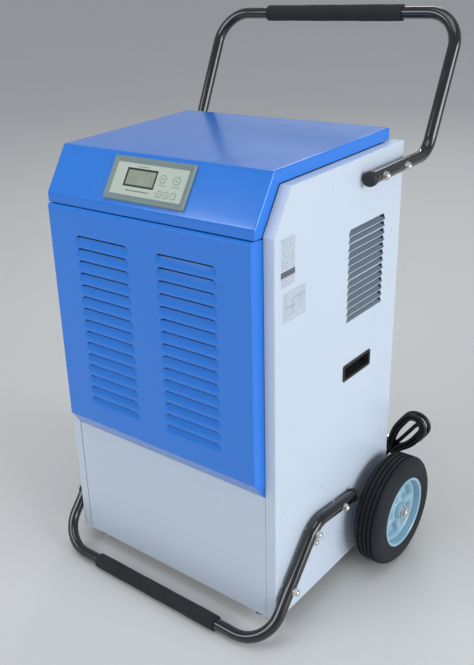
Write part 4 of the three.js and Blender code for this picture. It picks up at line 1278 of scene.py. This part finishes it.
def tyre_profile():
    """Rounded shoulders and four grooves in the tread, from bead to bead."""
    half, tread = (WHEEL["outer"] - WHEEL["inner"]) / 2, WHEEL["radius"]
    bore = WHEEL["rim"] + 0.3
    groove, depth = 1.4, 3.2
    outline = [(bore, -half + 4), (bore + 6, -half + 0.8), (86, -half), (97, -half + 1.4),
               (tread - 3, -half + 7), (tread - 0.3, -half + 12)]
    radii = [2.0, 6.0, 8.0, 8.0, 6.0]
    for middle in (-12.6, -4.2, 4.2, 12.6):
        outline += [(tread, middle - groove - 0.3), (tread - depth, middle - groove + 0.2),
                    (tread - depth, middle + groove - 0.2), (tread, middle + groove + 0.3)]
        radii += [0.5, 0.4, 0.4, 0.5]
    outline += [(tread - 0.3, half - 12), (tread - 3, half - 7), (97, half - 1.4), (86, half),
                (bore + 6, half - 0.8), (bore, half - 4)]
    radii += [6.0, 8.0, 8.0, 6.0, 2.0, 0.5]
    outline.append(outline[0])
    return fillet(outline, radii[: len(outline) - 2], 4)


def hub_web():
    """The dished face between rim and boss: five spokes with deep pockets between them."""
    inner, outer, spokes = 15.0, 60.5, 5
    rows = []
    for i in range(25):
        radius = inner + (outer - inner) * i / 24
        row = []
        for j in range(200):
            turn = 2 * math.pi * j / 200
            swing = (turn * spokes / (2 * math.pi)) % 1.0
            aside = abs(swing - 0.5) * 2 * math.pi / spokes * radius * 0.999
            from_spoke = (math.pi / spokes) * radius - aside
            wall = min(from_spoke - 6.5, radius - 22.5, 55.0 - radius)
            sunk = max(0.0, min(1.0, (wall + 1.2) / 3.4))
            sunk = sunk * sunk * (3 - 2 * sunk)
            dish = 13.0 - 5.0 * math.sin(math.pi * min(1.0, (radius - inner) / (outer - inner)))
            row.append(Vector((dish - 9.5 * sunk, radius * math.cos(turn), radius * math.sin(turn))))
        rows.append(row)
    return grid(rows, around=True)


def wheel(name, side):
    middle = side * (WHEEL["inner"] + WHEEL["outer"]) / 2
    at_wheel = Matrix.Translation((middle, WHEEL["y"], WHEEL["radius"]))
    facing = Matrix.Scale(side, 4, X)

    def part(suffix, shape, material, node=None, **settings):
        placed = shape.moved(at_wheel @ facing)
        if side < 0:
            placed.faces = [face[::-1] for face in placed.faces]
        replaced = [node] if node else []
        piece(f"{name}_{suffix}", placed, material, body=f"{name}_wheel", replaces=replaced, **settings)

    part("tyre_tread", lathe("x", tyre_profile(), 0, 0, 144), "tyre", f"{name}_tyre")
    barrel = fillet([(58.5, -22), (WHEEL["rim"], -22), (WHEEL["rim"], 23.4), (WHEEL["rim"] + 1.4, 24.8),
                     (WHEEL["rim"] + 1.2, 26.4), (65.8, 27.2), (63.4, 25.6), (61.5, 14), (58.5, 9),
                     (58.5, -22)], [0.8, 0.6, 0.6, 0.8, 0.8, 1.2, 2.0, 2.0], 4)
    part("rim", lathe("x", barrel, 0, 0, 96), "hub_paint", f"{name}_hub")
    part("spokes", hub_web(), "hub_paint", thickness=2.4, sharp=60)
    boss = fillet([(7.6, -26.4), (15, -26.4), (17, -22), (17, 17), (14.5, 23.4), (7.6, 23.4), (7.6, -26.4)],
                  [0.8, 1.0, 2.0, 1.6, 0.4], 4)
    part("boss", lathe("x", boss, 0, 0, 48), "hub_paint")


def axle():
    """The through axle: collars inside the wheels, and washers and nuts outside them."""
    y, z = WHEEL["y"], WHEEL["radius"]
    shape = rod("x", WHEEL["axle"], -315.5, 315.5, y, z, 32)
    for side in (1, -1):
        shape.add(rod("x", 11, side * (HALF + 0.3), side * 257.8, y, z, 32))
        shape.add(rod("x", 13, side * 308.8, side * 310.8, y, z, 40))
        rows = []
        for scale, station in ((0.92, 310.6), (1.0, 311.4), (1.0, 315.8), (0.9, 316.8)):
            rows.append([place("x", u, v, side * station) for u, v in circle(10.2 * scale, 6, y, z, 0.4)])
        shape.add(capped(rows))
        shape.add(lathe("x", [(0, 317.6), (4.4, 317.4), (5.4, 316.4), (5.4, 314)], y, z, 32, side))
    piece("axle_bar", shape, "zinc", replaces=["axle"])


def build_wheels():
    for name, side in SIDES:
        wheel(name, side)
    axle()


# ---------------------------------------------------------------- mains lead

# The lead's own route from its gland to the hank, as (y, z), the same points as the frame's design has.
LEAD = [(222, 340), (236, 339.5), (250, 334), (261, 322), (266, 304), (265, 283), (259, 258), (250, 232),
        (240, 206), (230, 180), (222, 158)]

# The hank's straight runs in turn, up on the right and down on the left: how far each one lies from the
# hank's middle line, and its y. One strand crosses the middle.
RUNS = [(24, 225), (-24, 226), (16, 226), (-16, 227), (24, 233), (2, 232), (26, 241), (-24, 236)]
# Where the same runs lie inside the strap, which draws them together, and how far along it that is.
TIED = [(12, 225), (-12, 225), (4, 225), (-4, 225), (10, 233), (0, 233), (6, 241), (-9, 234)]
STRAP_ALONG = -8.0
STRAP_REACH = dict(above=30, below=11)              # how far from the strap its pull is felt
LEAD_IN = (-24, 217)


def spline(points, steps=8):
    """A Catmull-Rom curve through points."""
    curve = []
    ends = [points[0] * 2 - points[1]] + points + [points[-1] * 2 - points[-2]]
    for i in range(1, len(ends) - 2):
        a, b, c, d = ends[i - 1:i + 3]
        for k in range(steps):
            t = k / steps
            curve.append(0.5 * (2 * b + (c - a) * t + (2 * a - 5 * b + 4 * c - d) * t * t
                                + (3 * b - a - 3 * c + d) * t ** 3))
    return curve + [points[-1]]


def on_hank(along, aside, y):
    """A point of the hank, from distances along its tilted middle line and to the right of it."""
    c, s = math.cos(HANK["tilt"]), math.sin(HANK["tilt"])
    return Vector((HANK["x"] + along * c + aside * s, y, HANK["z"] + along * s - aside * c))


def hank_fold(first, second, end, start=0.0, stop=math.pi):
    """A half-turn from one run to the next, at the hank's upper (end 1) or lower (end -1) end."""
    radius, middle = (first[0] - second[0]) / 2, (first[0] + second[0]) / 2
    steps = max(3, round((stop - start) / math.pi * 20))
    points = []
    for k in range(steps + 1):
        turn = start + (stop - start) * k / steps
        share = (1 - math.cos(turn)) / 2
        reach = end * (HANK["run"] / 2 + abs(radius) * math.sin(turn))
        y = first[1] + (second[1] - first[1]) * share
        points.append(on_hank(reach, middle + radius * math.cos(turn), y))
    return points


def hank_run(run, tied, end):
    """The points between two folds: bowed a little by hand, and drawn together under the strap."""
    points = []
    for k in range(1, 20):
        share = k / 20
        along = HANK["run"] * (share - 0.5)
        distance = along * end - STRAP_ALONG
        reach = STRAP_REACH["above" if distance > 0 else "below"]
        pull = math.exp(-((distance / reach) ** 2))
        bow = math.sin(math.pi * share) * (1.6 if run[0] > 8 else -1.2)
        aside = (run[0] + bow) * (1 - pull) + tied[0] * pull
        y = run[1] * (1 - pull) + tied[1] * pull
        points.append(on_hank(end * along, aside, y))
    return points


def cord_path():
    """The whole lead: its fall from the gland, the hank's turns and the tail into the plug."""
    lead = [Vector((CORD["x"], y, z)) for y, z in LEAD]
    upright = math.pi / 2 - HANK["tilt"]                # where a lower fold passes straight down
    winding = hank_fold(LEAD_IN, RUNS[0], -1, start=upright)
    for k, run in enumerate(RUNS):
        end = 1 if k % 2 == 0 else -1
        winding += hank_run(run, TIED[k], end)
        if k + 1 < len(RUNS):
            winding += hank_fold(run, RUNS[k + 1], end)
    last = RUNS[-1]
    winding += hank_fold(last, (24, last[1]), -1, stop=upright)
    foot = winding[-1]
    tail = [Vector((foot.x, foot.y, z)) for z in (foot.z - 8, foot.z - 20, PLUG_TOP + 0.4)]
    return spline(lead + winding[:1])[:-1] + winding + tail


def path_length(points):
    return sum((b - a).length for a, b in zip(points, points[1:]))


def make_cord():
    """The lead as a curve, with its plug."""
    path = cord_path()
    data = bpy.data.curves.new("mains_lead", "CURVE")
    data.dimensions = "3D"
    data.bevel_depth = CORD["radius"] * MM
    data.bevel_resolution = 6
    data.use_fill_caps = True
    line = data.splines.new("POLY")
    line.points.add(len(path) - 1)
    for slot, point in zip(line.points, path):
        slot.co = (*to_frame(point), 1.0)
    line.use_smooth = True
    lead = bpy.data.objects.new("mains_lead", data)
    bpy.context.scene.collection.objects.link(lead)
    data.materials.append(MATERIALS["cord_sheath"])
    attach(lead, "cabinet")
    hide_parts("cord_lead", "cord_hank", "cord_tail")
    plug = make_plug(path[-1])
    to_frame(path[0])
    path_length(path) * MM


def make_plug(top):
    """A moulded plug with a ribbed neck, hanging pins down."""
    x, y = top.x, top.y
    neck = [(0.0, PLUG_TOP)]
    for k in range(4):
        z = PLUG_TOP - 4 * k
        rib, waist = 5.6 + 0.35 * k, 4.9 + 0.35 * k
        neck += [(rib, z), (rib, z - 2.4), (waist, z - 2.8), (waist, z - 3.8)]
    neck += [(7.4, PLUG_TOP - 16.5), (15.5, PLUG_TOP - 24), (17, PLUG_TOP - 30), (17, PLUG_TOP - 46),
             (0, PLUG_TOP - 46)]
    radii = [0.3] * 17 + [4.0, 4.0, 1.5]
    body = lathe("z", fillet(neck, radii[: len(neck) - 2], 3), x, y, 48)
    blades = Shape()
    foot = PLUG_TOP - 45.5
    for offset in (-6.5, 6.5):
        blades.add(box((x + offset - 0.8, x + offset + 0.8), (y - 3.1, y + 3.1), (foot - 17.5, foot)))
    blades.add(rod("z", 2.4, foot - 19.5, foot, x, y + 9, 24, 1.0))
    return [piece("plug_body", body, "black_plastic", replaces=["plug"]),
            piece("plug_pins", blades, "zinc", slot="black_plastic", bevel=0.3, steps=2)]


def gland():
    """The strain relief: a flange on the back panel and a ribbed, tapered sleeve round the lead."""
    y = BACK + 0.3
    profile = [(0, 176), (8, 176), (8, y), (13, y), (13, y + 4.5), (9.6, y + 6)]
    radii = [0.5, 0.3, 0.6, 1.2, 0.6]
    for k in range(4):
        station, radius = y + 8 + 5 * k, 9.0 - 0.9 * k
        profile += [(radius, station), (radius - 0.3, station + 2.8), (radius - 1.5, station + 3.2),
                    (radius - 1.7, station + 4.6)]
        radii += [0.4, 0.4, 0.3, 0.3]
    profile += [(4.6, CORD["exit_y"] - 0.4), (0, CORD["exit_y"] - 0.4)]
    radii += [0.3]
    shape = lathe("y", fillet(profile, radii[: len(profile) - 2], 3), CORD["x"], CORD["z"], 40)
    piece("strain_relief", shape, "black_plastic", replaces=["cord_gland"])


def hook():
    """The bent steel hook that holds the hank, with its round foot."""
    x, z = 213, 163
    end = HANK["back"] + 6
    arm = fillet([(x, BACK + 2, z), (x, end, z), (x, end, z + 26)], 7, 10)
    shape = sweep(arm, 4.0, 24)
    shape.add(rod("y", 14, BACK + 0.1, BACK + 3, x, z, 48, 0.8))
    piece("hook_arm", shape, "zinc", replaces=["cord_hook"])


def hank_tie():
    """A narrow strap round all the runs of the hank, just below its middle."""
    width, depth = 33.0, HANK["back"] - HANK["front"] + 1
    inner = rounded_rectangle(width, depth, 7.0, 5)
    outer = rounded_rectangle(width + 2.4, depth + 2.4, 8.2, 5)
    rows = []
    for ring, along in ((inner, -6.5), (outer, -6.5), (outer, 6.5), (inner, 6.5), (inner, -6.5)):
        rows.append([on_hank(along + STRAP_ALONG, aside, (HANK["front"] + HANK["back"]) / 2 + y)
                     for aside, y in ring])
    piece("hank_strap", grid(rows, around=True), "foam", slot="black_plastic", bevel=0.3)


def build_cord():
    make_cord()
    gland()
    hook()
    hank_tie()


# ---------------------------------------------------------------- the frame's own nodes that show

KEPT = {
    "mid_deck": "galvanised", "control_shelf": "galvanised", "drain_tray": "galvanised",
    "fan_bracket": "galvanised", "control_board": "circuit_board", "compressor_grommet_1": "rubber",
    "compressor_grommet_2": "rubber", "compressor_grommet_3": "rubber",
}


def dress_kept_nodes():
    for node, material in KEPT.items():
        obj = frame["nodes"][node]
        obj.data.materials.clear()
        obj.data.materials.append(MATERIALS[material])
        obj.modifiers.new("weld", "WELD").merge_threshold = 1e-5
        bevel = obj.modifiers.new("bevel", "BEVEL")
        bevel.width = 0.4 * MM
        bevel.segments = 2
        bevel.limit_method = "ANGLE"
        bevel.angle_limit = math.radians(50)


# ---------------------------------------------------------------- floor and light


def area_light(name, place_at, look_at, size, power, colour=(1.0, 1.0, 1.0)):
    data = bpy.data.lights.new(name, "AREA")
    data.shape = "RECTANGLE"
    data.size, data.size_y = size
    data.energy = power
    data.color = colour
    light = bpy.data.objects.new(name, data)
    bpy.context.scene.collection.objects.link(light)
    light.location = place_at
    light.rotation_mode = "QUATERNION"
    light.rotation_quaternion = (Vector(look_at) - Vector(place_at)).to_track_quat("-Z", "Y")


def build_studio():
    mesh = bpy.data.meshes.new("floor")
    reach = 30.0
    mesh.from_pydata([(-reach, -reach, 0), (reach, -reach, 0), (reach, reach, 0), (-reach, reach, 0)], [],
                     [(0, 1, 2, 3)])
    floor = bpy.data.objects.new("floor", mesh)
    bpy.context.scene.collection.objects.link(floor)
    mesh.materials.append(floor_finish())
    world = bpy.data.worlds.new("studio")
    world.use_nodes = True
    background = world.node_tree.nodes["Background"]
    background.inputs["Color"].default_value = (0.88, 0.93, 1.0, 1.0)
    background.inputs["Strength"].default_value = 0.42
    bpy.context.scene.world = world
    bpy.context.scene.view_settings.view_transform = "Standard"
    middle = (0, 0, 0.5)
    area_light("side_door", (6.0, 0.2, 1.9), middle, (4.6, 2.6), 225, (0.92, 0.96, 1.0))
    area_light("overhead", (0.3, -0.6, 3.6), middle, (2.4, 1.6), 22, (0.97, 0.98, 1.0))
    area_light("front_fill", (-1.4, -3.4, 2.6), middle, (2.8, 1.4), 50, (0.94, 0.97, 1.0))
    area_light("back_strip", (-1.5, 3.2, 2.6), (0, 0, 0.8), (1.6, 0.5), 16)


# ---------------------------------------------------------------- build

make_camera()
MATERIALS = make_materials()
build_cord()
build_cabinet()
build_controls()
build_inside()
build_tubes()
build_wheels()
dress_kept_nodes()
build_studio()
